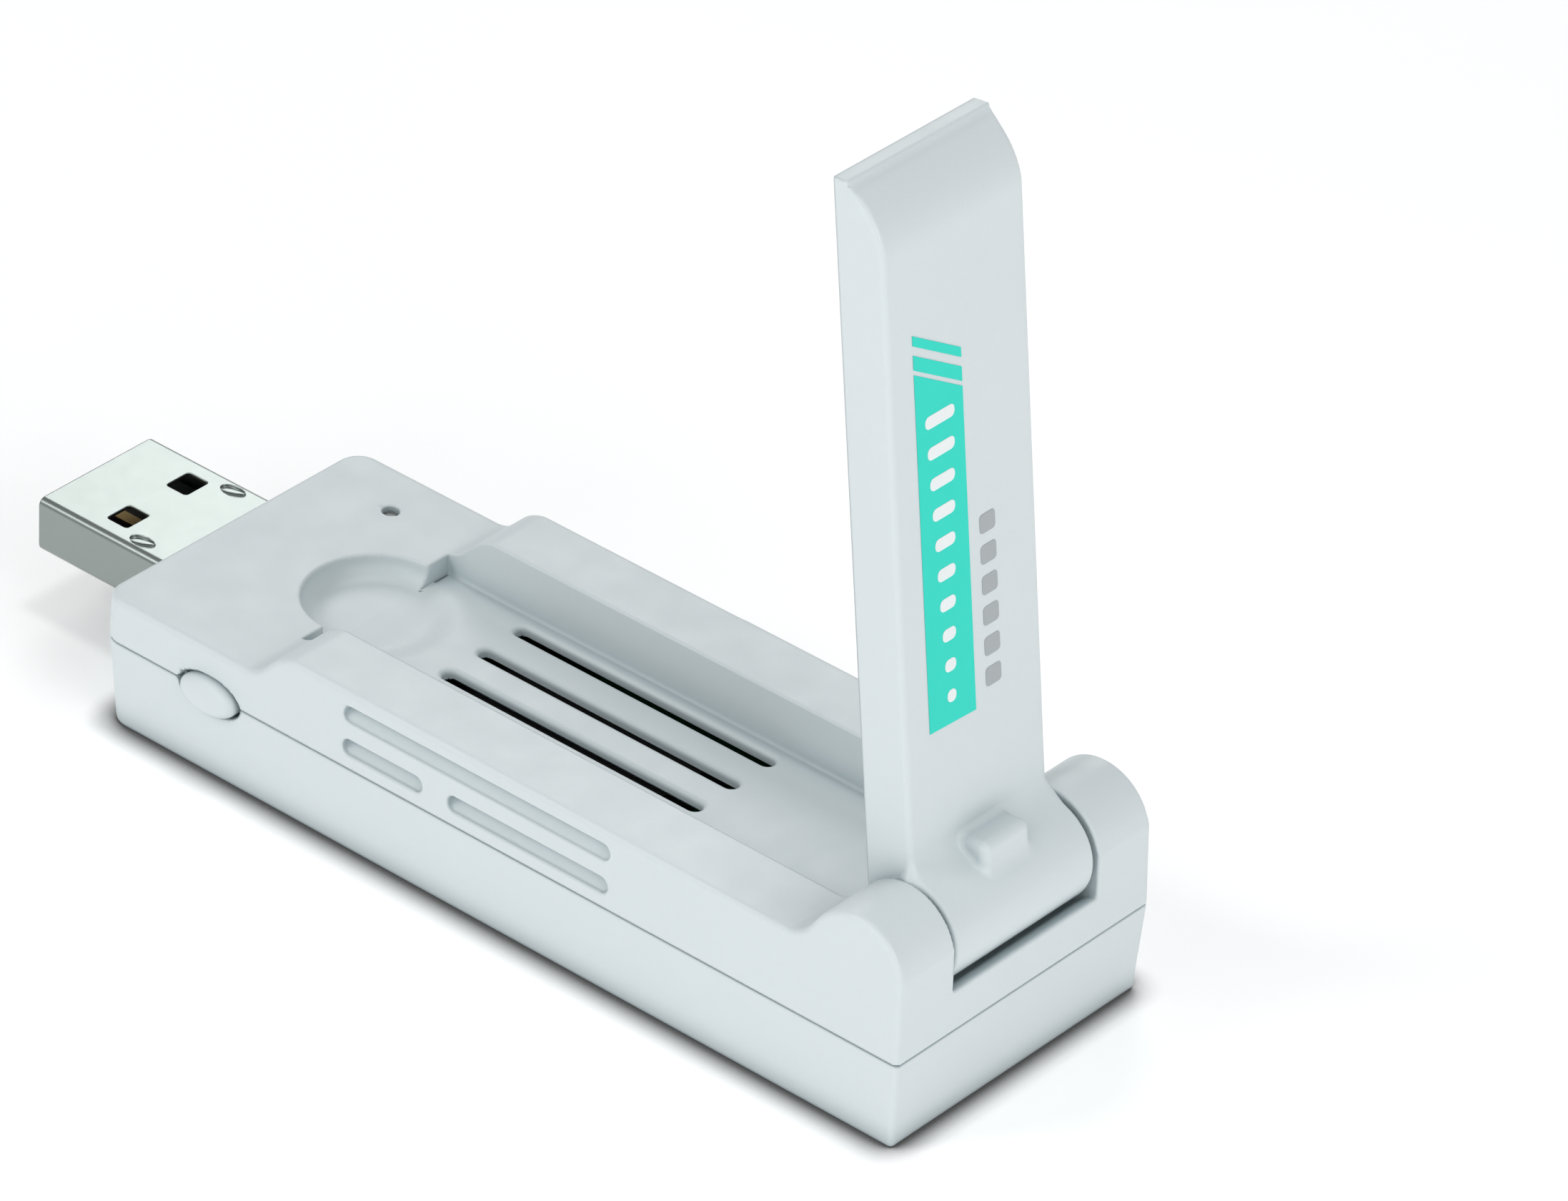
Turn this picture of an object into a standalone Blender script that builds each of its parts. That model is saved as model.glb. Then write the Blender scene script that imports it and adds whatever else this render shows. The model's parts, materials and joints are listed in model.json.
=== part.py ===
"""USB Wi-Fi adapter with a fold-up antenna, modelled as it is assembled.

Frame: origin at the centre of the flat underside, +X towards the hinge end, the plug at -X,
+Z up, and the push button on the -Y side. The antenna stands at its display angle.
"""

from math import cos, pi, radians, sin

import bmesh
import bpy
from mathutils import Matrix, Vector

MM = 0.001

# Gaps between pieces
FIT = 0.3 * MM
RUNNING = 0.4 * MM

# Housing
BODY_LENGTH = 75.2 * MM
BODY_WIDTH = 27.1 * MM
SEAM_HEIGHT = 7.25 * MM
DECK_HEIGHT = 10.9 * MM
RAIL_HEIGHT = 13.6 * MM
WALL = 1.2 * MM
FLOOR = 1.2 * MM
DRAFT_BOTTOM = 0.37 * MM
DRAFT_TOP = 0.3 * MM
DRAFT_TOP_HEIGHT = 18.5 * MM
BOTTOM_ROUND = 0.4 * MM
PLUG_END_CORNER = 1.8 * MM
HINGE_END_CORNER = 0.8 * MM
LEAST_ROUND = 0.2 * MM

# Bed that the folded antenna lies in
BED_START = 14.4 * MM
RAIL_WIDTH = 5.85 * MM
BED_FLOOR = 9.1 * MM
BED_FLOOR_WALL = 1.2 * MM
BED_STEP_WALL = 1.2 * MM
RAMP_START = 15.2 * MM
RAMP_RUN = 2.6 * MM
RAMP_ROUND = 0.9 * MM
LIP_HEIGHT = 10.5 * MM

# Vents in the bed, and the blind grooves along the -Y side
VENT_COUNT = 4
VENT_MARGIN = 1.25 * MM
VENT_WIDTH = 1.3 * MM
VENT_START = 22.8 * MM
VENT_LENGTH = 24.4 * MM
GROOVE_DEPTH = 0.5 * MM
GROOVE_HEIGHT = 1.3 * MM
GROOVE_START = 23.8 * MM
GROOVE_END = 48.8 * MM
GROOVE_UPPER_Z = 11.75 * MM
GROOVE_LOWER_Z = 9.05 * MM
GROOVE_BREAK_START = 31.4 * MM
GROOVE_BREAK_END = 33.8 * MM

# Finger scoop at the head of the bed
SCOOP_MARGIN = 2.25 * MM
SCOOP_FLOOR = 8.85 * MM

# Status light
LIGHT_X = 7.6 * MM
LIGHT_INSET = 4.65 * MM
LIGHT_HOLE = 1.3 * MM
LIGHT_PIPE = 0.9 * MM
LIGHT_RECESS = 0.4 * MM

# Push button
BUTTON_X = 10.9 * MM
BUTTON_Z = 7.1 * MM
BUTTON_WIDTH = 5.2 * MM
BUTTON_HEIGHT = 3.0 * MM
BUTTON_PROUD = 0.8 * MM
BUTTON_FLANGE = 0.7 * MM
BUTTON_FLANGE_THICK = 0.5 * MM
PLUNGER_DIAMETER = 1.5 * MM
PLUNGER_LENGTH = 1.6 * MM
SWITCH_WIDTH = 3.9 * MM
SWITCH_DEPTH = 2.2 * MM
SWITCH_HEIGHT = 4.2 * MM

# Plug, to the USB type A sizes
PLUG_WIDTH = 12.0 * MM
PLUG_HEIGHT = 4.5 * MM
PLUG_REACH = 13.5 * MM
PLUG_INSIDE = 5.2 * MM
PLUG_CENTRE_Z = 6.88 * MM
PLUG_METAL = 0.3 * MM
PLUG_CORNER = 0.6 * MM
LATCH_LENGTH = 2.05 * MM
LATCH_WIDTH = 2.4 * MM
LATCH_SPACING = 6.2 * MM
LATCH_FROM_TIP = 5.25 * MM
TONGUE_THICK = 1.7 * MM
TONGUE_FROM_TIP = 1.0 * MM
CONTACT_THICK = 0.2 * MM
FRONT_CONTACTS = 4
FRONT_CONTACT_PITCH = 2.3 * MM
FRONT_CONTACT_WIDTH = 1.0 * MM
FRONT_CONTACT_LENGTH = 4.4 * MM
REAR_CONTACTS = 5
REAR_CONTACT_PITCH = 2.0 * MM
REAR_CONTACT_WIDTH = 0.8 * MM
REAR_CONTACT_LENGTH = 3.2 * MM
CONTACT_BREAK = 1.2 * MM

# Circuit board and what is soldered to it
BOARD_THICK = 1.0 * MM
BOARD_MARGIN = 0.5 * MM
POST_DIAMETER = 2.4 * MM
POST_INSET = 3.2 * MM
SHIELD_SIZE = (19.0 * MM, 14.0 * MM, 2.6 * MM)
SHIELD_X = 33.0 * MM
SHIELD_METAL = 0.25 * MM
CHIP_SIZE = (10.0 * MM, 10.0 * MM, 0.9 * MM)
CRYSTAL_SIZE = (3.2 * MM, 2.5 * MM, 0.8 * MM)
INDUCTOR_SIZE = (4.0 * MM, 4.0 * MM, 2.0 * MM)
REGULATOR_SIZE = (3.0 * MM, 3.0 * MM, 0.9 * MM)
LED_SIZE = (1.6 * MM, 0.8 * MM, 0.7 * MM)
SOCKET_SIZE = (2.6 * MM, 2.6 * MM, 1.2 * MM)

# Hinge
HINGE_INSET = 4.4 * MM
HINGE_Z = 13.25 * MM
EAR_RADIUS = 4.25 * MM
EAR_TANGENT = 145.0
EAR_FOOT_ROUND = 0.8 * MM
BARREL_RADIUS = 4.05 * MM
BUSH_DIAMETER = 3.2 * MM
BUSH_BORE = 1.9 * MM
BUSH_FLANGE = 5.0 * MM
BUSH_FLANGE_THICK = 0.6 * MM
BUSH_IN_BARREL = 2.8 * MM
WASHER_DIAMETER = 6.4 * MM
WASHER_THICK = 0.6 * MM
DISPLAY_ANGLE = 83.1

# Antenna blade, in its own directions: "out" from the axis along the blade, "face" towards the print
TIP_CLEARANCE = 0.35 * MM
BLADE_CLEARANCE = 0.45 * MM
BLADE_BACK = 3.8 * MM
BLADE_FACE = 0.25 * MM
BLADE_WALL = 1.0 * MM
BLADE_ROOT = 6.2 * MM
LIP_THICK = 1.35 * MM
LIP_LENGTH = 0.9 * MM
TIP_SLOPE_DROP = 1.0 * MM
TIP_ROUND = 2.4 * MM
ROOT_FILLET = 1.6 * MM
COVER_THICK = 0.9 * MM
COVER_TIP_MARGIN = 4.6 * MM
PAD_HEIGHT = 0.2 * MM
PAD_LENGTH = 5.0 * MM
PAD_MARGIN = 1.4 * MM
PAD_FIRST = 11.4 * MM
PAD_PITCH = 11.2 * MM
PAD_COUNT = 3
NUB_WIDTH = 4.9 * MM
NUB_FACE = 2.75 * MM
NUB_TOP = 5.3 * MM
ANTENNA_BOARD_THICK = 0.8 * MM
ANTENNA_BOARD_MARGIN = 0.8 * MM

COAX_DIAMETER = 1.1 * MM
LEAD_WAY = 0.9 * MM
LEAD_Y = -1.2 * MM
LEAD_WAY_WIDTH = 2.8 * MM
LEAD_WAY_BACK = 2.9 * MM
LEAD_TURN_OUT = 3.3 * MM

ARC_STEPS = 6
CIRCLE_STEPS = 32
PAST = 2.0 * MM

# Places worked out from the driving sizes, with x measured from the plug end of the housing
SEAM_LOW = SEAM_HEIGHT - FIT / 2
SEAM_HIGH = SEAM_HEIGHT + FIT / 2
HALF_WIDTH = BODY_WIDTH / 2
BED_WIDTH = BODY_WIDTH - 2 * RAIL_WIDTH
INNER_HALF = HALF_WIDTH - DRAFT_TOP - WALL
BED_HALF = BED_WIDTH / 2
POCKET = BARREL_RADIUS + RUNNING
CEILING = min(BED_FLOOR, HINGE_Z - POCKET) - BED_FLOOR_WALL
VENT_PITCH = (BED_WIDTH - 2 * VENT_MARGIN - VENT_WIDTH) / (VENT_COUNT - 1)
SCOOP_RADIUS = BED_HALF - SCOOP_MARGIN
LIGHT_Y = HALF_WIDTH - LIGHT_INSET
HINGE_X = BODY_LENGTH - HINGE_INSET
BLADE_REACH = HINGE_X - BED_START - TIP_CLEARANCE
BLADE_WIDTH = BED_WIDTH - 2 * BLADE_CLEARANCE
PLUG_BOTTOM = PLUG_CENTRE_Z - PLUG_HEIGHT / 2
PLUG_TOP = PLUG_CENTRE_Z + PLUG_HEIGHT / 2
BOARD_TOP = PLUG_BOTTOM - FIT
BOARD_BOTTOM = BOARD_TOP - BOARD_THICK
ON_BOARD = BOARD_TOP + FIT
BARREL_HALF = BED_HALF - FIT
BUSH_END = BARREL_HALF - BUSH_IN_BARREL
BUTTON_FACE_Y = -HALF_WIDTH - BUTTON_PROUD
EAR_WALL_Y = BED_HALF + WALL
FACE_IN_BLADE = BLADE_FACE - BLADE_WALL
COVER_INNER = COVER_THICK - BLADE_BACK


def clear_scene():
    for thing in list(bpy.data.objects):
        bpy.data.objects.remove(thing, do_unlink=True)
    for mesh in list(bpy.data.meshes):
        bpy.data.meshes.remove(mesh)


def material(name, colour, roughness, metallic=0.0):
    made = bpy.data.materials.new(name)
    made.use_nodes = True
    shader = made.node_tree.nodes["Principled BSDF"]
    shader.inputs["Base Color"].default_value = (*colour, 1.0)
    shader.inputs["Roughness"].default_value = roughness
    shader.inputs["Metallic"].default_value = metallic
    return made


def add_object(name, mesh, finish=None):
    made = bpy.data.objects.new(name, mesh)
    bpy.context.scene.collection.objects.link(made)
    if finish:
        mesh.materials.append(finish)
    else:
        made.hide_render = True
        made.display_type = "WIRE"
    mesh.shade_smooth()
    mesh.set_sharp_from_angle(angle=radians(30))
    return made


def from_bmesh(name, shape, finish):
    bmesh.ops.recalc_face_normals(shape, faces=shape.faces)
    mesh = bpy.data.meshes.new(name)
    shape.to_mesh(mesh)
    shape.free()
    return add_object(name, mesh, finish)


def stack(name, rings, finish=None):
    """A closed solid through rings of points, each ring with the same number of points."""
    shape = bmesh.new()
    levels = [[shape.verts.new(point) for point in ring] for ring in rings]
    count = len(levels[0])
    for low, high in zip(levels, levels[1:]):
        for i in range(count):
            j = (i + 1) % count
            shape.faces.new((low[i], low[j], high[j], high[i]))
    shape.faces.new(reversed(levels[0]))
    shape.faces.new(levels[-1])
    return from_bmesh(name, shape, finish)


def prism(name, outline, axis, low, high, finish=None):
    """The outline's pairs are the two directions other than the axis, in the order x, y, z."""

    def place(pair, depth):
        point = list(pair)
        point.insert("xyz".index(axis), depth)
        return Vector(point)

    return stack(name, [[place(pair, depth) for pair in outline] for depth in (low, high)], finish)


def box(name, low, high, finish=None):
    corners = [(low[0], low[1]), (high[0], low[1]), (high[0], high[1]), (low[0], high[1])]
    return prism(name, corners, "z", low[2], high[2], finish)


def block_at(name, centre, size, bottom, finish=None):
    low = (centre[0] - size[0] / 2, centre[1] - size[1] / 2, bottom)
    high = (centre[0] + size[0] / 2, centre[1] + size[1] / 2, bottom + size[2])
    return box(name, low, high, finish)


def arc(centre, radius, start, end, steps=ARC_STEPS):
    """Points on an arc, with both ends, from one angle to another in degrees."""
    turns = [radians(start + (end - start) * i / steps) for i in range(steps + 1)]
    return [(centre[0] + radius * cos(t), centre[1] + radius * sin(t)) for t in turns]


def circle(centre, radius, steps=CIRCLE_STEPS):
    return arc(centre, radius, 0, 360, steps)[:-1]


def rounded_rectangle(x0, x1, y0, y1, left, right):
    """Counter-clockwise from the lower left, with one radius for the left corners and one for the right."""
    return (
        arc((x0 + left, y0 + left), left, 180, 270)
        + arc((x1 - right, y0 + right), right, 270, 360)
        + arc((x1 - right, y1 - right), right, 0, 90)
        + arc((x0 + left, y1 - left), left, 90, 180)
    )


def obround(x0, x1, z0, z1):
    radius = min(x1 - x0, z1 - z0) / 2
    return rounded_rectangle(x0, x1, z0, z1, radius * 0.999, radius * 0.999)


def body_ring(height, inset):
    outline = rounded_rectangle(
        inset,
        BODY_LENGTH - inset,
        inset - HALF_WIDTH,
        HALF_WIDTH - inset,
        max(PLUG_END_CORNER - inset, LEAST_ROUND),
        max(HINGE_END_CORNER - inset, LEAST_ROUND),
    )
    return [(x, y, height) for x, y in outline]


def boolean(target, other, operation="DIFFERENCE"):
    change = target.modifiers.new(other.name, "BOOLEAN")
    change.operation = operation
    change.object = other
    return target


def origin_at(thing, place):
    """Moves the object's origin, and leaves its shape where it is."""
    thing.data.transform(Matrix.Translation(-Vector(place)))
    thing.location = place
    return thing


def tube_along(name, route, diameter, finish):
    """A round lead through a smooth curve's points."""
    curve = bpy.data.curves.new(name, "CURVE")
    curve.dimensions = "3D"
    curve.bevel_depth = diameter / 2
    curve.bevel_resolution = 2
    curve.use_fill_caps = True
    points = smooth_route(route, spacing=2 * diameter)
    spline = curve.splines.new("POLY")
    spline.points.add(len(points) - 1)
    for slot, point in zip(spline.points, points):
        slot.co = (*point, 1.0)
    made = bpy.data.objects.new(name, curve)
    bpy.context.scene.collection.objects.link(made)
    curve.materials.append(finish)
    return made


def smooth_route(route, spacing):
    """Points of a Catmull-Rom curve through the route, about one spacing apart."""
    knots = [Vector(point) for point in route]
    knots = [2 * knots[0] - knots[1], *knots, 2 * knots[-1] - knots[-2]]
    found = [knots[1]]
    for a, b, c, d in zip(knots, knots[1:], knots[2:], knots[3:]):
        pieces = max(1, round((c - b).length / spacing))
        for i in range(1, pieces + 1):
            t = i / pieces
            square = (2 * a - 5 * b + 4 * c - d) * t**2
            cube = (3 * b - a - 3 * c + d) * t**3
            found.append(0.5 * (2 * b + (c - a) * t + square + cube))
    return found


# Housing -------------------------------------------------------------------------------------


def make_lower_shell(finish):
    shell = stack(
        "lower_shell",
        [
            body_ring(0.0, DRAFT_BOTTOM + BOTTOM_ROUND),
            body_ring(BOTTOM_ROUND * 0.3, DRAFT_BOTTOM + BOTTOM_ROUND * 0.3),
            body_ring(BOTTOM_ROUND, DRAFT_BOTTOM),
            body_ring(SEAM_LOW, 0.0),
        ],
        finish,
    )
    inset = DRAFT_BOTTOM + WALL
    hollow = stack("cut_lower_hollow", [body_ring(FLOOR, inset), body_ring(SEAM_LOW + PAST, inset)])
    boolean(shell, hollow)
    boolean(shell, plug_opening("cut_lower_plug"))
    boolean(shell, button_opening("cut_lower_button"))
    for i, (x, y) in enumerate(post_places()):
        post = prism(
            f"add_post_{i}", circle((x, y), POST_DIAMETER / 2, 16), "z", FLOOR / 2, BOARD_BOTTOM - FIT
        )
        boolean(shell, post, "UNION")
    return shell


def post_places():
    edge = DRAFT_BOTTOM + WALL + POST_INSET
    xs = (edge, BODY_LENGTH - edge)
    ys = (edge - HALF_WIDTH, HALF_WIDTH - edge)
    return [(x, y) for x in xs for y in ys]


def plug_opening(name):
    outline = rounded_rectangle(
        -PLUG_WIDTH / 2 - FIT,
        PLUG_WIDTH / 2 + FIT,
        PLUG_BOTTOM - FIT,
        PLUG_TOP + FIT,
        PLUG_CORNER + FIT,
        PLUG_CORNER + FIT,
    )
    return prism(name, outline, "x", -PAST, DRAFT_BOTTOM + WALL + PAST)


def button_outline(grow):
    half_width = BUTTON_WIDTH / 2 + grow
    half_height = BUTTON_HEIGHT / 2 + grow
    turns = [2 * pi * i / CIRCLE_STEPS for i in range(CIRCLE_STEPS)]
    return [(BUTTON_X + half_width * cos(t), BUTTON_Z + half_height * sin(t)) for t in turns]


def button_opening(name):
    return prism(name, button_outline(FIT), "y", -HALF_WIDTH - PAST, -INNER_HALF + PAST / 4)


def ear_arc(radius, start, end, steps=2 * ARC_STEPS):
    return arc((HINGE_X, HINGE_Z), radius, start, end, steps)


def top_profile(drop, first_x, last_x, bottom):
    """The side view of the deck, ramp, rail and ear, lowered by a wall's thickness."""
    ear = ear_arc(EAR_RADIUS - drop, EAR_TANGENT, 0)
    touch = ear[0]
    slope = radians(EAR_TANGENT - 90)
    rail = RAIL_HEIGHT - drop
    foot = touch[0] - (touch[1] - rail) / (sin(slope) / cos(slope))
    ramp_top = RAMP_START + RAMP_RUN
    rise = (RAIL_HEIGHT - DECK_HEIGHT) / RAMP_RUN
    return [
        (first_x, bottom),
        (first_x, DECK_HEIGHT - drop),
        (RAMP_START + drop / 2, DECK_HEIGHT - drop),
        (ramp_top - RAMP_ROUND / 2 + drop / 2, rail - rise * RAMP_ROUND / 2),
        (ramp_top + RAMP_ROUND / 2 + drop / 2, rail),
        (foot - EAR_FOOT_ROUND, rail),
        (foot + EAR_FOOT_ROUND * cos(slope), rail + EAR_FOOT_ROUND * sin(slope)),
        *ear,
        (last_x, HINGE_Z),
        (last_x, bottom),
    ]


def bed_profile():
    """The side view of the trough: flat, then round under the barrel, then up over the end lip."""
    depth = min(HINGE_Z - BED_FLOOR, POCKET)
    run_in = (POCKET**2 - depth**2) ** 0.5
    rise = HINGE_Z - LIP_HEIGHT
    run_out = (POCKET**2 - rise**2) ** 0.5
    start = 180 + angle_of(run_in, depth)
    end = 360 - angle_of(run_out, rise)
    return [
        (BED_START, BED_FLOOR),
        *ear_arc(POCKET, start, end),
        (BODY_LENGTH + PAST, LIP_HEIGHT),
        (BODY_LENGTH + PAST, DRAFT_TOP_HEIGHT + PAST),
        (BED_START, DRAFT_TOP_HEIGHT + PAST),
    ]


def angle_of(across, up):
    return Vector((across, up)).angle(Vector((1.0, 0.0))) * 180 / pi


def make_upper_shell(finish):
    shell = stack("upper_shell", [body_ring(SEAM_HIGH, 0.0), body_ring(DRAFT_TOP_HEIGHT, DRAFT_TOP)], finish)
    profile = top_profile(0.0, -PAST, BODY_LENGTH + PAST, SEAM_HEIGHT - PAST)
    boolean(shell, prism("keep_upper_profile", profile, "y", -BODY_WIDTH, BODY_WIDTH), "INTERSECT")
    boolean(shell, prism("cut_bed", bed_profile(), "y", -BED_HALF, BED_HALF))
    inset = DRAFT_TOP + WALL
    hollow = [body_ring(SEAM_HEIGHT - PAST, inset), body_ring(CEILING, inset)]
    boolean(shell, stack("cut_upper_hollow", hollow))
    deck_under = DECK_HEIGHT - WALL
    plug_room_end = BED_START - SCOOP_RADIUS - WALL
    plug_room_start = (inset, -INNER_HALF, SEAM_HEIGHT - PAST)
    boolean(shell, box("cut_plug_room", plug_room_start, (plug_room_end, INNER_HALF, deck_under)))
    for side in (-1, 1):
        tag = "near" if side < 0 else "far"
        between = sorted((side * (SCOOP_RADIUS + WALL), side * INNER_HALF))
        room = box(
            f"cut_deck_room_{tag}",
            (plug_room_end - PAST, between[0], SEAM_HEIGHT - PAST),
            (BED_START - BED_STEP_WALL, between[1], deck_under),
        )
        boolean(shell, room)
        between = sorted((side * EAR_WALL_Y, side * INNER_HALF))
        under = top_profile(WALL, BED_START - PAST, BODY_LENGTH - inset, SEAM_HEIGHT - PAST)
        boolean(shell, prism(f"cut_rail_room_{tag}", under, "y", *between))
        bore = circle((HINGE_X, HINGE_Z), BUSH_DIAMETER / 2 + FIT)
        between = sorted((side * (BED_HALF - PAST / 4), side * (EAR_WALL_Y + PAST / 4)))
        boolean(shell, prism(f"cut_ear_bore_{tag}", bore, "y", *between))
    cut_scoop(shell)
    cut_vents(shell)
    cut_grooves(shell)
    light = circle((LIGHT_X, LIGHT_Y), LIGHT_HOLE / 2, 16)
    boolean(shell, prism("cut_light_hole", light, "z", deck_under - PAST / 2, DECK_HEIGHT + PAST))
    boolean(shell, plug_opening("cut_upper_plug"))
    boolean(shell, button_opening("cut_upper_button"))
    return shell


def cut_scoop(shell):
    """A deep half bowl in the deck, and a shallow half dish that carries it on into the bed."""
    places = (
        ("deck", DECK_HEIGHT, SCOOP_RADIUS, (90, 270), BED_START + FIT),
        ("bed", BED_FLOOR, SCOOP_RADIUS + FIT, (-90, 90), BED_START - FIT),
    )
    for tag, rim, radius, turn, closing_x in places:
        rings = []
        for tilt in (0, 18, 36, 54, 72):
            depth = (rim - SCOOP_FLOOR) * sin(radians(tilt))
            half = arc((BED_START, 0.0), radius * cos(radians(tilt)), *turn, 2 * ARC_STEPS)
            half = [*half, (closing_x, half[-1][1]), (closing_x, half[0][1])]
            rings.append([(x, y, rim - depth) for x, y in half])
        rings.insert(0, [(x, y, rim + PAST) for x, y, _ in rings[0]])
        boolean(shell, stack(f"cut_scoop_{tag}", rings))


def cut_vents(shell):
    for i in range(VENT_COUNT):
        y = (i - (VENT_COUNT - 1) / 2) * VENT_PITCH
        outline = obround(VENT_START, VENT_START + VENT_LENGTH, y - VENT_WIDTH / 2, y + VENT_WIDTH / 2)
        boolean(shell, prism(f"cut_vent_{i}", outline, "z", CEILING - PAST / 2, BED_FLOOR + PAST))


def cut_grooves(shell):
    runs = (
        ("upper", GROOVE_START, GROOVE_END, GROOVE_UPPER_Z),
        ("lower_front", GROOVE_START, GROOVE_BREAK_START, GROOVE_LOWER_Z),
        ("lower_back", GROOVE_BREAK_END, GROOVE_END, GROOVE_LOWER_Z),
    )
    for tag, start, end, z in runs:
        outline = obround(start, end, z - GROOVE_HEIGHT / 2, z + GROOVE_HEIGHT / 2)
        inner = -HALF_WIDTH + DRAFT_TOP / 2 + GROOVE_DEPTH
        boolean(shell, prism(f"cut_groove_{tag}", outline, "y", -HALF_WIDTH - PAST, inner))


# Plug ----------------------------------------------------------------------------------------


def plug_outline(inset):
    return rounded_rectangle(
        inset - PLUG_WIDTH / 2,
        PLUG_WIDTH / 2 - inset,
        PLUG_BOTTOM + inset,
        PLUG_TOP - inset,
        PLUG_CORNER - inset / 2,
        PLUG_CORNER - inset / 2,
    )


def make_plug(steel, insulator, gold):
    sleeve = prism("usb_sleeve", plug_outline(0.0), "x", -PLUG_REACH, PLUG_INSIDE, steel)
    bore = prism("cut_sleeve_bore", plug_outline(PLUG_METAL), "x", -PLUG_REACH - PAST, PLUG_INSIDE + PAST)
    boolean(sleeve, bore)
    latch_x = LATCH_FROM_TIP + LATCH_LENGTH / 2 - PLUG_REACH
    for side in (-1, 1):
        for height, tag in ((PLUG_BOTTOM, "bottom"), (PLUG_TOP, "top")):
            size = (LATCH_LENGTH, LATCH_WIDTH, 3 * PLUG_METAL)
            centre = (latch_x, side * LATCH_SPACING / 2)
            name = f"cut_latch_{tag}_{'near' if side < 0 else 'far'}"
            boolean(sleeve, block_at(name, centre, size, height - 1.5 * PLUG_METAL))
    half = PLUG_WIDTH / 2 - PLUG_METAL - FIT
    floor = PLUG_BOTTOM + PLUG_METAL + FIT
    tip = TONGUE_FROM_TIP - PLUG_REACH
    box("usb_tongue", (tip, -half, floor), (PLUG_INSIDE - FIT, half, floor + TONGUE_THICK), insulator)
    top = floor + TONGUE_THICK + FIT / 2
    front = tip + FIT
    rear = front + FRONT_CONTACT_LENGTH + CONTACT_BREAK
    front_size = (FRONT_CONTACT_WIDTH, FRONT_CONTACT_LENGTH)
    rear_size = (REAR_CONTACT_WIDTH, REAR_CONTACT_LENGTH)
    make_contacts("usb_contact", FRONT_CONTACTS, FRONT_CONTACT_PITCH, *front_size, front, top, gold)
    make_contacts("usb3_contact", REAR_CONTACTS, REAR_CONTACT_PITCH, *rear_size, rear, top, gold)


def make_contacts(name, count, pitch, width, length, start, bottom, finish):
    for i in range(count):
        y = (i - (count - 1) / 2) * pitch
        low = (start, y - width / 2, bottom)
        box(f"{name}_{i + 1}", low, (start + length, y + width / 2, bottom + CONTACT_THICK), finish)


# Electronics ---------------------------------------------------------------------------------


def make_board(finish):
    inset = DRAFT_BOTTOM + WALL + BOARD_MARGIN
    ring = [(x, y) for x, y, _ in body_ring(0.0, inset)]
    return prism("circuit_board", ring, "z", BOARD_BOTTOM, BOARD_TOP, finish)


def make_components(tin, black, silver, grey, gold, amber):
    block_at("wifi_chip", (SHIELD_X, 0.0), CHIP_SIZE, ON_BOARD, black)
    shield = block_at("rf_shield", (SHIELD_X, 0.0), SHIELD_SIZE, ON_BOARD, tin)
    inner = [side - 2 * SHIELD_METAL for side in SHIELD_SIZE[:2]] + [SHIELD_SIZE[2] - SHIELD_METAL + PAST]
    boolean(shield, block_at("cut_shield_room", (SHIELD_X, 0.0), inner, ON_BOARD - PAST))
    beside = SHIELD_X - SHIELD_SIZE[0] / 2
    beyond = SHIELD_X + SHIELD_SIZE[0] / 2
    block_at("crystal", (beyond + CRYSTAL_SIZE[0], 3 * MM), CRYSTAL_SIZE, ON_BOARD, silver)
    block_at("power_inductor", (beside - INDUCTOR_SIZE[0], -3.5 * MM), INDUCTOR_SIZE, ON_BOARD, grey)
    block_at("voltage_regulator", (beside - INDUCTOR_SIZE[0], 3.5 * MM), REGULATOR_SIZE, ON_BOARD, black)
    block_at("status_led", (LIGHT_X, LIGHT_Y), LED_SIZE, ON_BOARD, amber)
    block_at("rf_connector", (socket_x(), socket_y()), SOCKET_SIZE, ON_BOARD, gold)


def make_light_pipe(finish):
    bottom = ON_BOARD + LED_SIZE[2] + FIT
    outline = circle((LIGHT_X, LIGHT_Y), LIGHT_PIPE / 2, 16)
    prism("light_pipe", outline, "z", bottom, DECK_HEIGHT - LIGHT_RECESS, finish)


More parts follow.
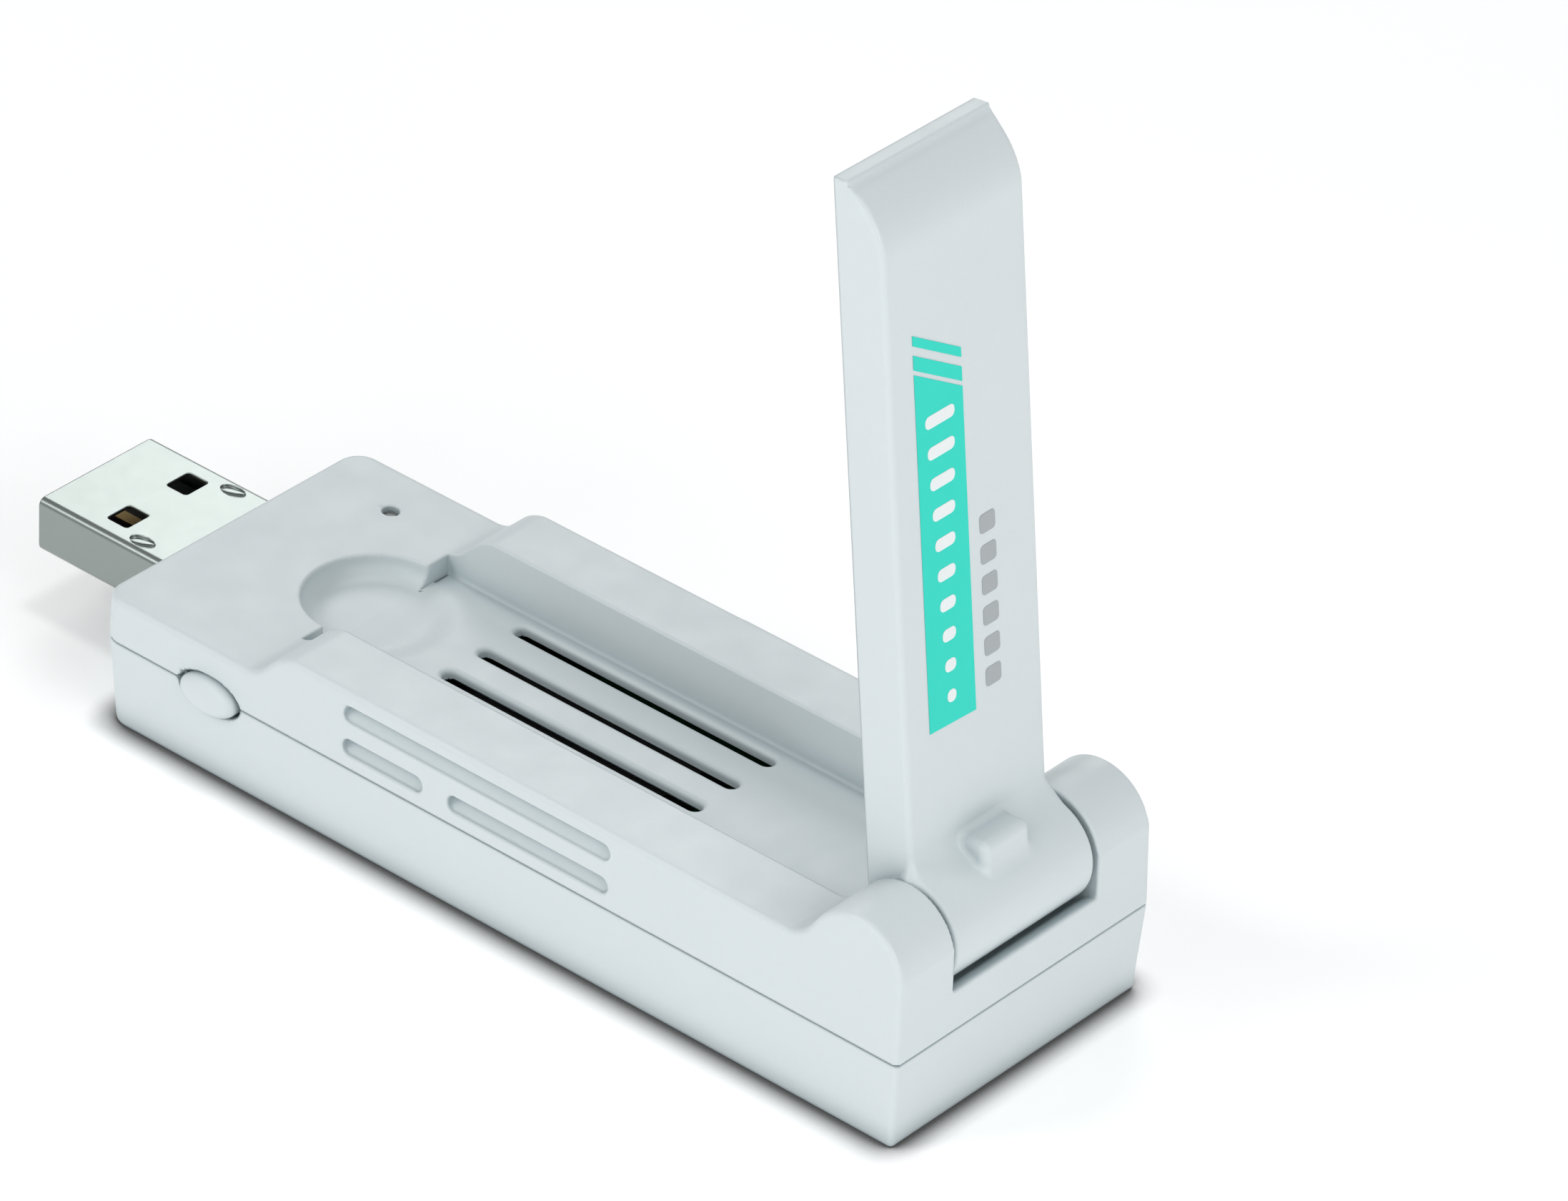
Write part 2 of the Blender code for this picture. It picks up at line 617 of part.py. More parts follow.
def make_button(white, black, pale):
    inner_face = -INNER_HALF + FIT
    flange_end = inner_face + BUTTON_FLANGE_THICK
    crown = BUTTON_PROUD * 0.5
    rings = [
        [(x, BUTTON_FACE_Y, z) for x, z in button_outline(-BUTTON_HEIGHT * 0.22)],
        [(x, BUTTON_FACE_Y + crown * 0.35, z) for x, z in button_outline(-BUTTON_HEIGHT * 0.08)],
        [(x, BUTTON_FACE_Y + crown, z) for x, z in button_outline(0.0)],
        [(x, inner_face, z) for x, z in button_outline(0.0)],
    ]
    cap = stack("push_button", rings, white)
    flange = prism("add_button_flange", button_outline(BUTTON_FLANGE), "y", inner_face, flange_end)
    boolean(cap, flange, "UNION")
    body_start = -SCOOP_RADIUS - WALL - FIT - SWITCH_DEPTH
    plunger_start = body_start - PLUNGER_LENGTH / 2
    outline = circle((BUTTON_X, BUTTON_Z), PLUNGER_DIAMETER / 2, 16)
    stem = prism("add_button_stem", outline, "y", inner_face, plunger_start - FIT)
    boolean(cap, stem, "UNION")
    origin_at(cap, (BUTTON_X, BUTTON_FACE_Y, BUTTON_Z))
    plunger = prism("switch_plunger", outline, "y", plunger_start, plunger_start + PLUNGER_LENGTH, pale)
    origin_at(plunger, (BUTTON_X, plunger_start, BUTTON_Z))
    low = (BUTTON_X - SWITCH_WIDTH / 2, body_start, ON_BOARD)
    high = (BUTTON_X + SWITCH_WIDTH / 2, body_start + SWITCH_DEPTH, ON_BOARD + SWITCH_HEIGHT)
    switch = box("tact_switch", low, high, black)
    hole = circle((BUTTON_X, BUTTON_Z), PLUNGER_DIAMETER / 2 + FIT, 16)
    depth = PLUNGER_LENGTH / 2 + FIT + RUNNING
    boolean(switch, prism("cut_switch_hole", hole, "y", body_start - PAST, body_start + depth))


# Hinge ---------------------------------------------------------------------------------------


def turned_y(name, profile, finish):
    """A round piece about the hinge axis, from pairs of y and radius."""
    rings = [[(x, y, z) for x, z in circle((HINGE_X, HINGE_Z), radius)] for y, radius in profile]
    return stack(name, rings, finish)


def make_hinge_pieces(steel, spring):
    axis = (HINGE_X, HINGE_Z)
    outer_end = EAR_WALL_Y + FIT
    flange_end = outer_end + BUSH_FLANGE_THICK
    radius = BUSH_DIAMETER / 2
    flange = BUSH_FLANGE / 2
    washer_end = BARREL_HALF - FIT / 6
    for side, name in ((-1, "hinge_bush"), (1, "hinge_pin")):
        profile = [(BUSH_END, radius), (outer_end, radius), (outer_end, flange), (flange_end, flange)]
        piece = turned_y(name, [(side * y, r) for y, r in profile], steel)
        if side < 0:
            low, high = sorted((side * (BUSH_END - PAST), side * (flange_end + PAST)))
            boolean(piece, prism("cut_bush_bore", circle(axis, BUSH_BORE / 2, 24), "y", low, high))
        tag = "near" if side < 0 else "far"
        low, high = sorted((side * (washer_end - WASHER_THICK), side * washer_end))
        outline = circle(axis, WASHER_DIAMETER / 2)
        washer = prism(f"friction_washer_{tag}", outline, "y", low, high, spring)
        hole = circle(axis, radius + FIT)
        boolean(washer, prism(f"cut_washer_{tag}", hole, "y", low - PAST, high + PAST))
        origin_at(washer, (HINGE_X, low, HINGE_Z))


# Antenna -------------------------------------------------------------------------------------
# The blade's pieces are built about the hinge axis as (face, y, out) and then turned into place.


def turn_to_display(thing):
    """Puts a piece built with x as the face direction and z as the out direction on the axis."""
    tilt = Matrix.Rotation(radians(DISPLAY_ANGLE - 90), 4, "Y")
    thing.matrix_world = Matrix.Translation((HINGE_X, 0.0, HINGE_Z)) @ tilt
    return thing


def blade_profile():
    """The side view of the blade, as pairs of face and out, counter-clockwise from the root's back."""
    slope_start = BLADE_REACH - LIP_LENGTH
    round_top = slope_start - TIP_SLOPE_DROP
    centre = (BLADE_FACE - TIP_ROUND, round_top - TIP_ROUND)
    return [
        (-BLADE_BACK, 0.0),
        (BLADE_FACE, 0.0),
        *arc(centre, TIP_ROUND, 0, 62),
        (LIP_THICK - BLADE_BACK + 0.5 * MM, slope_start - 0.3 * MM),
        (LIP_THICK - BLADE_BACK, slope_start),
        (LIP_THICK - BLADE_BACK, BLADE_REACH),
        (-BLADE_BACK, BLADE_REACH),
    ]


def root_fillet_profile():
    """Fills the inner corner between the print face and the barrel."""
    face = BLADE_FACE + ROOT_FILLET
    centre = (face, ((BARREL_RADIUS + ROOT_FILLET) ** 2 - face**2) ** 0.5)
    inward = 360 - angle_of(-centre[0], centre[1])
    return [(0.0, 0.0), (0.0, centre[1]), *arc(centre, ROOT_FILLET, 180, inward)]


def make_front_shell(finish):
    half = BLADE_WIDTH / 2
    shell = prism("antenna_shell", blade_profile(), "y", -half, half, finish)
    pieces = [
        prism("add_barrel", circle((0.0, 0.0), BARREL_RADIUS), "y", -BARREL_HALF, BARREL_HALF),
        prism("add_root_fillet", root_fillet_profile(), "y", -half, half),
        box("add_nub", (0.0, -NUB_WIDTH / 2, 0.0), (NUB_FACE, NUB_WIDTH / 2, NUB_TOP)),
    ]
    room_half = cover_half() + FIT
    room_low = (-BLADE_BACK - PAST, -room_half, BLADE_ROOT)
    way_start = LEAD_Y - LEAD_WAY_WIDTH / 2
    way_end = LEAD_Y + LEAD_WAY_WIDTH / 2
    cuts = [
        box("cut_blade_room", room_low, (FACE_IN_BLADE, room_half, cover_end() + FIT)),
        box("cut_lead_turn", (-LEAD_WAY, way_start, -LEAD_WAY), (LEAD_WAY, way_end, LEAD_TURN_OUT)),
        box("cut_lead_way", (-LEAD_WAY_BACK, way_start, 0.0), (FACE_IN_BLADE, way_end, BLADE_ROOT + PAST)),
        prism("cut_lead_bore", circle((0.0, 0.0), BUSH_BORE / 2, 24), "y", -BARREL_HALF, -PAST / 2),
    ]
    bore = circle((0.0, 0.0), BUSH_DIAMETER / 2 + FIT)
    seat = circle((0.0, 0.0), WASHER_DIAMETER / 2 + FIT)
    for side in (-1, 1):
        tag = "near" if side < 0 else "far"
        low, high = sorted((side * (BUSH_END - FIT), side * (BARREL_HALF + PAST)))
        cuts.append(prism(f"cut_barrel_bore_{tag}", bore, "y", low, high))
        low, high = sorted((side * (BARREL_HALF - WASHER_THICK - FIT), side * (BARREL_HALF + PAST)))
        cuts.append(prism(f"cut_washer_seat_{tag}", seat, "y", low, high))
    for piece in pieces:
        boolean(shell, turn_to_display(piece), "UNION")
    for piece in cuts:
        boolean(shell, turn_to_display(piece))
    return turn_to_display(shell)


def cover_half():
    return BLADE_WIDTH / 2 - BLADE_WALL - FIT


def cover_end():
    return BLADE_REACH - COVER_TIP_MARGIN


def make_back_cover(finish):
    low = (-BLADE_BACK, -cover_half(), BLADE_ROOT + FIT)
    cover = box("antenna_back_cover", low, (COVER_INNER, cover_half(), cover_end()), finish)
    for i in range(PAD_COUNT):
        start = PAD_FIRST + i * PAD_PITCH
        half = cover_half() - PAD_MARGIN
        low = (-BLADE_BACK - PAD_HEIGHT, -half, start)
        pad = box(f"add_pad_{i}", low, (COVER_INNER - COVER_THICK / 2, half, start + PAD_LENGTH))
        boolean(cover, turn_to_display(pad), "UNION")
    return turn_to_display(cover)


def make_antenna_board(finish):
    half = cover_half() - ANTENNA_BOARD_MARGIN
    face = COVER_INNER + FIT
    low = (face, -half, antenna_board_root())
    high = (face + ANTENNA_BOARD_THICK, half, cover_end() - ANTENNA_BOARD_MARGIN)
    return turn_to_display(box("antenna_board", low, high, finish))


def antenna_board_root():
    return BLADE_ROOT + FIT + 3 * MM


# Coaxial lead from the circuit board, through the hinge bush, to the antenna board --------------


def socket_x():
    return HINGE_X - 10 * MM


def socket_y():
    return SOCKET_SIZE[1] / 2 + FIT - (HALF_WIDTH - DRAFT_BOTTOM - WALL - BOARD_MARGIN)


def make_leads(finish):
    y = COAX_DIAMETER / 2 + FIT - INNER_HALF
    start_z = ON_BOARD + SOCKET_SIZE[2] / 2
    board_lead = [
        (socket_x() + SOCKET_SIZE[0] / 2 + FIT, socket_y(), start_z),
        (socket_x() + 3.4 * MM, (y + socket_y()) / 2, start_z + 0.6 * MM),
        (socket_x() + 6.4 * MM, y, HINGE_Z - 5.0 * MM),
        (HINGE_X - 1.0 * MM, y, HINGE_Z - 2.2 * MM),
        (HINGE_X - 0.1 * MM, y + 0.6 * MM, HINGE_Z - 0.4 * MM),
        (HINGE_X, y + 2.0 * MM, HINGE_Z),
        (HINGE_X, -EAR_WALL_Y + 2.0 * MM, HINGE_Z),
        (HINGE_X, -BUSH_END, HINGE_Z),
    ]
    tube_along("coax_lead_board", board_lead, COAX_DIAMETER, finish)
    board_face = COVER_INNER + FIT + ANTENNA_BOARD_THICK / 2
    blade_lead = [
        (0.0, FIT - BUSH_END, 0.0),
        (0.0, FIT - BUSH_END + 1.4 * MM, 0.0),
        (-0.2 * MM, LEAD_Y - 0.7 * MM, 0.5 * MM),
        (-1.1 * MM, LEAD_Y - 0.1 * MM, 2.0 * MM),
        (-1.9 * MM, LEAD_Y, 4.2 * MM),
        (board_face, LEAD_Y, BLADE_ROOT + 0.8 * MM),
        (board_face, LEAD_Y, antenna_board_root() - FIT),
    ]
    turn_to_display(tube_along("coax_lead_antenna", blade_lead, COAX_DIAMETER, finish))


def centre_on_base():
    """Moves everything so that the origin is the centre of the underside."""
    for thing in bpy.data.objects:
        thing.location.x -= BODY_LENGTH / 2


def main():
    clear_scene()
    white = material("white_plastic", (0.70, 0.76, 0.76), 0.45)
    steel = material("plug_steel", (0.55, 0.56, 0.53), 0.3, 1.0)
    tin = material("tinned_steel", (0.6, 0.6, 0.6), 0.35, 1.0)
    gold = material("gold_plating", (0.83, 0.6, 0.25), 0.3, 1.0)
    blue = material("insulator_blue", (0.02, 0.12, 0.45), 0.5)
    green = material("board_green", (0.02, 0.16, 0.07), 0.5)
    black = material("package_black", (0.02, 0.02, 0.02), 0.5)
    grey = material("ferrite_grey", (0.18, 0.18, 0.19), 0.6)
    clear = material("light_guide", (0.8, 0.85, 0.85), 0.15)
    amber = material("led_lens", (0.75, 0.8, 0.6), 0.3)
    lead = material("lead_jacket", (0.05, 0.05, 0.05), 0.5)
    make_lower_shell(white)
    make_upper_shell(white)
    make_plug(steel, blue, gold)
    make_board(green)
    make_components(tin, black, tin, grey, gold, amber)
    make_light_pipe(clear)
    make_button(white, black, blue)
    make_hinge_pieces(steel, tin)
    make_front_shell(white)
    make_back_cover(white)
    make_antenna_board(green)
    make_leads(lead)
    centre_on_base()


main()
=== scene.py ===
import json
from math import cos, radians, sin

import bmesh
import bpy
import numpy as np
from mathutils import Matrix, Vector


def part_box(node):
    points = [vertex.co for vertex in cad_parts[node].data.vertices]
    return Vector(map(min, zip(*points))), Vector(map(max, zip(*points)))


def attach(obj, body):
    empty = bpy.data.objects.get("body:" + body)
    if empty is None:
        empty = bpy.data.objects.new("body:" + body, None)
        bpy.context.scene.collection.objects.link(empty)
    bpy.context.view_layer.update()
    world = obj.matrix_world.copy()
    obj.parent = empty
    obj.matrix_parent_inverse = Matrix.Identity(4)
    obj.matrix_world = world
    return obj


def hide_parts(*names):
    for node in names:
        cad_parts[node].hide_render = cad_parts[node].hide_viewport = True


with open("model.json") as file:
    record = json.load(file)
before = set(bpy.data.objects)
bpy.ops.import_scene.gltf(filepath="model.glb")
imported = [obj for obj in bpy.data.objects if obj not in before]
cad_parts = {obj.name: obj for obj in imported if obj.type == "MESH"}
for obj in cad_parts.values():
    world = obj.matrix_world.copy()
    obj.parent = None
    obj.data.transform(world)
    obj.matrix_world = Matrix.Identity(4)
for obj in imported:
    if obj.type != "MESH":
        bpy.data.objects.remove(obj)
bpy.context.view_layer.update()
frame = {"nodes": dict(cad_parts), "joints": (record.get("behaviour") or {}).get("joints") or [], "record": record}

# Shapes are worked out in millimetres, in the part's own frame.
MM = 0.001
FINE = 0.2


def box_mm(node):
    low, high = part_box(node)
    return low / MM, high / MM


# Places taken from the frame
CASE_LOW, CASE_HIGH = box_mm("lower_shell")
PLUG_END = CASE_LOW.x
HINGE_END = CASE_HIGH.x
HALF_LENGTH = HINGE_END
HALF_WIDTH = CASE_HIGH.y
SEAM = (CASE_HIGH.z + box_mm("upper_shell")[0].z) / 2
HINGE = next(joint for joint in frame["joints"] if joint["name"] == "antenna_fold")
HINGE_X = HINGE["pos_m"][0] / MM
HINGE_Z = HINGE["pos_m"][2] / MM
BUTTON_LOW, BUTTON_HIGH = box_mm("push_button")
SLEEVE_LOW, SLEEVE_HIGH = box_mm("usb_sleeve")
PLUG_Z = (SLEEVE_LOW.z + SLEEVE_HIGH.z) / 2

# Case, with the radius of each edge beside what it belongs to
SEAM_GAP = 0.11
SEAM_ROUND = 0.1
DECK_Z = 10.9
RAIL_Z = 13.6
TOP_DRAFT = 0.027
BOTTOM_DRAFT = 0.052
PLUG_CORNER = 1.9
HINGE_CORNER = 0.4
EDGE_ROUND = 0.5
BOTTOM_ROUND = 0.35
END_ROUND = 0.2
WALL = 1.5
THIN_WALL = 1.2
REBATE = 0.7
REBATE_DEPTH = 0.6
REBATE_FIT = 0.1
CEILING_Z = 7.9
DECK_UNDER_Z = 9.7
FLOOR_Z = 1.2
OPEN_Z = 20.0

# Bed between the rails
BED_X = PLUG_END + 14.5
BED_HALF = 7.7
BED_Z = 9.2
BED_CORNER = 0.2
BED_EDGE = 0.2
RAMP_X = PLUG_END + 15.2
RAMP_ANGLE = 46.0
RAMP_TOP_ROUND = 0.9
RAMP_FOOT_ROUND = 0.7
LIP_Z = 10.5
LIP_BACK = 2.0
LIP_ROUND = 0.5
POCKET = 4.45
EAR = 4.22
EAR_SLOPE = 55.0
EAR_FOOT_ROUND = 1.0

# Finger scoop in the deck, carried on as a shallow dish in the bed
SCOOP = 5.45
SCOOP_Z = 9.15
SCOOP_ROUND = 1.35
SCOOP_PAST = 0.2
DISH = 6.1
DISH_DEPTH = 0.4
DISH_SLOPE = 2.6
DISH_START = (BED_X - 0.5, BED_X + 3.5)
PARTING_WIDTH = 0.08
PARTING_DEPTH = 0.13

# Vents, grooves and holes
VENTS = [(i - 1.5) * 3.87 + 0.1 for i in range(4)]
VENT_HALF = 0.58
VENT_ROUND = 0.38
VENT_UNDER_Z = 8.3
VENT_X = (PLUG_END + 22.8, PLUG_END + 47.2)
VENT_ROOM_X = (VENT_X[0] - 1, VENT_X[1] + 1)
GROOVE_HALF = 0.65
GROOVE_DEPTH = 1.1
GROOVE_TILT = 0.4
GROOVE_FOOT_ROUND = 0.15
GROOVE_EDGE = 0.12
DRAFT_AT_GROOVES = 0.08
GROOVES = (
    (PLUG_END + 23.8, PLUG_END + 48.8, 11.75),
    (PLUG_END + 23.8, PLUG_END + 31.4, 9.05),
    (PLUG_END + 33.8, PLUG_END + 48.8, 9.05),
)
LIGHT_X = PLUG_END + 7.6
LIGHT_Y = HALF_WIDTH - 4.6
LIGHT_HOLE = 0.65
LIGHT_EDGE = 0.12
BUTTON_X = (BUTTON_LOW.x + BUTTON_HIGH.x) / 2
BUTTON_Z = (BUTTON_LOW.z + BUTTON_HIGH.z) / 2
BUTTON_HALF_X = 2.65
BUTTON_HALF_Z = 1.52
BUTTON_GAP = (0.34, 0.1)
BUTTON_HOLE_EDGE = 0.07
BUTTON_BULGE = 0.35
BUTTON_ROUND = 0.45
BUTTON_CAP = 0.6
BUTTON_STEM = 0.75
FLANGE_HALF = (3.3, 2.2)
FLANGE_BEHIND = (WALL + 0.3, WALL + 0.8)
FLANGE_ROUND = 0.1
SWITCH_ROOM_X = (BED_X - 2, BED_X + 3)
PLUG_FIT = 0.12
PLUG_HOLE_EDGE = 0.15

# Antenna, in its own directions from the hinge's axis: face, across and out
DISPLAY_ANGLE = 83.1
BLADE_FACE = 0.22
BLADE_BACK = 3.83
BLADE_HALF = 7.25
BLADE_OUT = 56.15
BLADE_EDGE = 0.45
BACK_EDGE = 0.1
EDGE_CHANGE = (-2.6, -1.4)
TIP_ROUND = 2.6
TIP_ANGLE = 58.2
TIP_FACE = -1.08
TIP_OUT = 54.75
TIP_LIP_THICK = 1.3
TIP_LIP_ROUND = 0.25
TIP_LIP_FOOT = 0.3
BARREL = 4.08
BARREL_HALF = 7.4
BARREL_EDGE = 0.3
ROOT_ROUND = (0.05, 1.7)
ROOT_CHANGE = (-1.0, 0.2)
NUB_HALF = 2.45
NUB_FACE = 2.75
NUB_OUT = 5.3
NUB_ROUND = 0.7
NUB_FOOT = 0.45
PIVOT_HOLE = 1.9
PIVOT_START = 4.3
WASHER_SEAT = 3.5
WASHER_START = 6.45
COVER_HALF = 5.9
COVER_OUT = (6.5, 51.2)
COVER_THICK = 0.9
COVER_GAP = 0.12
COVER_CORNER = 0.4
COVER_EDGE = 0.15
SEAT_EDGE = 0.1
ROOM_FACE = -0.7
PADS = [11.4 + 11.2 * i for i in range(3)]
PAD_LONG = 5.0
PAD_HALF = 4.5
PAD_HIGH = 0.2
PAD_CORNER = 0.4
PAD_ROUND = 0.25
PAD_FOOT = 0.15
PAD_ROOT = 0.2

# Plug
SHEET = 0.3
SHEET_BEND = 0.6
SHEET_EDGE = 0.08
LATCH_X = (SLEEVE_LOW.x + 5.25, SLEEVE_LOW.x + 7.3)
LATCH_HALF = 1.2
LATCH_Y = 3.1
LATCH_CORNER = 0.3
LATCH_EDGE = 0.06
STAMP_X = (PLUG_END - 5.5, PLUG_END - 2.9)
STAMP_Y = 4.75
STAMP_HALF = (1.08, 0.6)
STAMP_DEPTH = 0.2
STAMP_EDGE = 0.05
LEAF_LEAN = 24.0
LEAF_HALF = (0.95, 0.2)
LEAF_LOW = 0.03


# Signed distance fields: millimetres, below zero inside ----------------------------------------


def meet(a, b, round_by=0.0):
    """Inside both, with the outer edge between them rounded."""
    if np.ndim(round_by) == 0 and not round_by:
        return np.maximum(a, b)
    u = np.maximum(round_by + a, 0.0)
    v = np.maximum(round_by + b, 0.0)
    return np.minimum(-round_by, np.maximum(a, b)) + np.sqrt(u * u + v * v)


def join(a, b, round_by=0.0):
    """Inside either, with the inner corner between them filled."""
    return -meet(-a, -b, round_by)


def cut(a, b, round_by=0.0):
    return meet(a, -b, round_by)


def span(p, low, high):
    return np.maximum(low - p, p - high)


def block(x, y, z, low, high):
    return meet(meet(span(x, low[0], high[0]), span(y, low[1], high[1])), span(z, low[2], high[2]))


def disc(a, b, centre, radius):
    return np.hypot(a - centre[0], b - centre[1]) - radius


def slot(a, b, start, end, level, half):
    """A round-ended slot that runs along the first direction."""
    return np.hypot(a - np.clip(a, start + half, end - half), b - level) - half


def rounded_rectangle(a, b, half_a, half_b, corner):
    over_a = np.abs(a) - half_a + corner
    over_b = np.abs(b) - half_b + corner
    outside = np.hypot(np.maximum(over_a, 0), np.maximum(over_b, 0))
    return outside + np.minimum(np.maximum(over_a, over_b), 0) - corner


def oval(a, b, half_a, half_b):
    return (np.sqrt((a / half_a) ** 2 + (b / half_b) ** 2) - 1) * min(half_a, half_b)


def below_slope(a, b, through, angle):
    """Inside below the line that rises at this angle through the point."""
    turn = radians(angle)
    return (b - through[1]) * cos(turn) - (a - through[0]) * sin(turn)


def ease(p, start, end):
    t = np.clip((p - start) / (end - start), 0.0, 1.0)
    return t * t * (3 - 2 * t)


# Case ------------------------------------------------------------------------------------------


def case_plan(x, y, inset):
    corner = np.where(x < 0, PLUG_CORNER, HINGE_CORNER)
    return rounded_rectangle(x, y, HALF_LENGTH - inset, HALF_WIDTH - inset, corner)


def top_outline(x, z):
    """The side view of the deck, the ramp, the rails and the ears."""
    ramp = below_slope(x, z, (RAMP_X, DECK_Z), RAMP_ANGLE)
    rails = meet(z - RAIL_Z, ramp, RAMP_TOP_ROUND)
    top = join(z - DECK_Z, rails, RAMP_FOOT_ROUND)
    slope = radians(EAR_SLOPE)
    touch = (HINGE_X - EAR * sin(slope), HINGE_Z + EAR * cos(slope))
    before_touch = (x - HINGE_X) * cos(slope) + (z - HINGE_Z) * sin(slope)
    flank = meet(below_slope(x, z, touch, EAR_SLOPE), before_touch)
    ear = join(flank, disc(x, z, (HINGE_X, HINGE_Z), EAR))
    ear = join(ear, meet(HINGE_X - x, z - HINGE_Z))
    return join(top, ear, EAR_FOOT_ROUND)


def bed_outline(x, z):
    """The side view of the trough: the floor, the pocket under the barrel and the end lip."""
    floor = meet(meet(BED_X - x, BED_Z - z, BED_CORNER), x - HINGE_X)
    over_lip = meet(HINGE_X - LIP_BACK - x, LIP_Z - z)
    pocket = disc(x, z, (HINGE_X, HINGE_Z), POCKET)
    return join(join(floor, pocket), over_lip, LIP_ROUND)


def plug_opening(x, y, z):
    half_y = SLEEVE_HIGH.y + PLUG_FIT
    half_z = SLEEVE_HIGH.z - PLUG_Z + PLUG_FIT
    mouth = rounded_rectangle(y, z - PLUG_Z, half_y, half_z, SHEET_BEND + PLUG_FIT)
    return meet(mouth, x - (PLUG_END + 2 * WALL))


def button_opening(x, y, z):
    half_x = BUTTON_HALF_X + BUTTON_GAP[0]
    half_z = BUTTON_HALF_Z + BUTTON_GAP[1]
    hole = oval(x - BUTTON_X, z - BUTTON_Z, half_x, half_z)
    return meet(hole, y + HALF_WIDTH - 2 * WALL)


def upper_outside(x, y, z):
    inset = TOP_DRAFT * (z - SEAM)
    top = top_outline(x, z)
    plug_half = meet(top, case_plan(x, y, inset), EDGE_ROUND)
    end = x - (HINGE_END - inset)
    side = np.abs(y) - (HALF_WIDTH - inset)
    hinge_half = meet(meet(top, end, END_ROUND), side, HINGE_CORNER)
    outside = np.where(x < 0, plug_half, hinge_half)
    return meet(outside, SEAM + SEAM_GAP / 2 - z, SEAM_ROUND)


def cut_bed(shell, x, y, z):
    """Cuts the bed, the finger scoop, the dish that carries it on and the parting line between them."""
    bed = meet(bed_outline(x, z), np.abs(y) - BED_HALF, BED_CORNER)
    shell = cut(shell, bed, BED_EDGE)
    bowl = meet(disc(x, y, (BED_X, 0.0), SCOOP), SCOOP_Z - z, SCOOP_ROUND)
    shell = cut(shell, meet(bowl, x - BED_X - SCOOP_PAST), BED_EDGE)
    from_step = np.hypot(x - BED_X, y)
    deepening = 1 - ease(from_step, DISH - DISH_SLOPE, DISH)
    dish = BED_Z - DISH_DEPTH * deepening * ease(x, *DISH_START) - z
    shell = cut(shell, meet(meet(dish, BED_X - x), from_step - DISH))
    half = PARTING_WIDTH / 2
    parting = meet(np.abs(x - BED_X - half) - half, np.abs(y) - BED_HALF)
    return cut(shell, meet(parting, BED_Z - PARTING_DEPTH - z))


def cut_vents_and_grooves(shell, x, y, z):
    for y_vent in VENTS:
        shell = cut(shell, slot(x, y, *VENT_X, y_vent, VENT_HALF), VENT_ROUND)
    for start, end, level in GROOVES:
        up = np.clip((z - level) / GROOVE_HALF, -1, 1)
        depth = GROOVE_DEPTH * (1 - GROOVE_TILT + GROOVE_TILT * up)
        inward = y + HALF_WIDTH - DRAFT_AT_GROOVES - depth
        groove = meet(slot(x, z, start, end, level, GROOVE_HALF), inward, GROOVE_FOOT_ROUND)
        shell = cut(shell, groove, GROOVE_EDGE)
    return shell


def cut_rooms(shell, x, y, z):
    """Hollows the upper shell out, higher under the deck than under the bed and the scoop."""
    inside_y = HALF_WIDTH - WALL
    inside_x = HALF_LENGTH - WALL
    beside_scoop = BED_X - THIN_WALL
    rooms = (
        ((-inside_x, -inside_y, 0), (inside_x, inside_y, CEILING_Z)),
        ((VENT_ROOM_X[0], -BED_HALF, 0), (VENT_ROOM_X[1], BED_HALF, VENT_UNDER_Z)),
        ((-inside_x, -inside_y, 0), (BED_X - SCOOP - WALL, inside_y, DECK_UNDER_Z)),
        ((-inside_x, -inside_y, 0), (beside_scoop, -SCOOP - THIN_WALL, DECK_UNDER_Z)),
        ((-inside_x, SCOOP + THIN_WALL, 0), (beside_scoop, inside_y, DECK_UNDER_Z)),
        ((SWITCH_ROOM_X[0], -inside_y, 0), (SWITCH_ROOM_X[1], -BED_HALF - THIN_WALL, DECK_UNDER_Z)),
    )
    for low, high in rooms:
        shell = cut(shell, block(x, y, z, low, high))
    return shell


def upper_shell_field(x, y, z):
    shell = cut_bed(upper_outside(x, y, z), x, y, z)
    shell = cut_vents_and_grooves(shell, x, y, z)
    shell = cut(shell, meet(disc(x, y, (LIGHT_X, LIGHT_Y), LIGHT_HOLE), CEILING_Z - z), LIGHT_EDGE)
    shell = cut(shell, button_opening(x, y, z), BUTTON_HOLE_EDGE)
    shell = cut(shell, plug_opening(x, y, z), PLUG_HOLE_EDGE)
    shell = cut(shell, meet(case_plan(x, y, REBATE), z - (SEAM + REBATE_DEPTH + SEAM_GAP)))
    return cut_rooms(shell, x, y, z)


def lower_shell_field(x, y, z):
    inset = BOTTOM_DRAFT * (SEAM - z)
    shell = meet(case_plan(x, y, inset), -z, BOTTOM_ROUND)
    shell = meet(shell, z - (SEAM - SEAM_GAP / 2), SEAM_ROUND)
    tongue = meet(case_plan(x, y, REBATE + REBATE_FIT), z - (SEAM + REBATE_DEPTH))
    shell = join(shell, meet(tongue, 2 * FLOOR_Z - z))
    low = (WALL - HALF_LENGTH, WALL - HALF_WIDTH, FLOOR_Z)
    high = (HALF_LENGTH - WALL, HALF_WIDTH - WALL, OPEN_Z)
    shell = cut(shell, block(x, y, z, low, high))
    shell = cut(shell, button_opening(x, y, z), BUTTON_HOLE_EDGE)
    return cut(shell, plug_opening(x, y, z), PLUG_HOLE_EDGE)


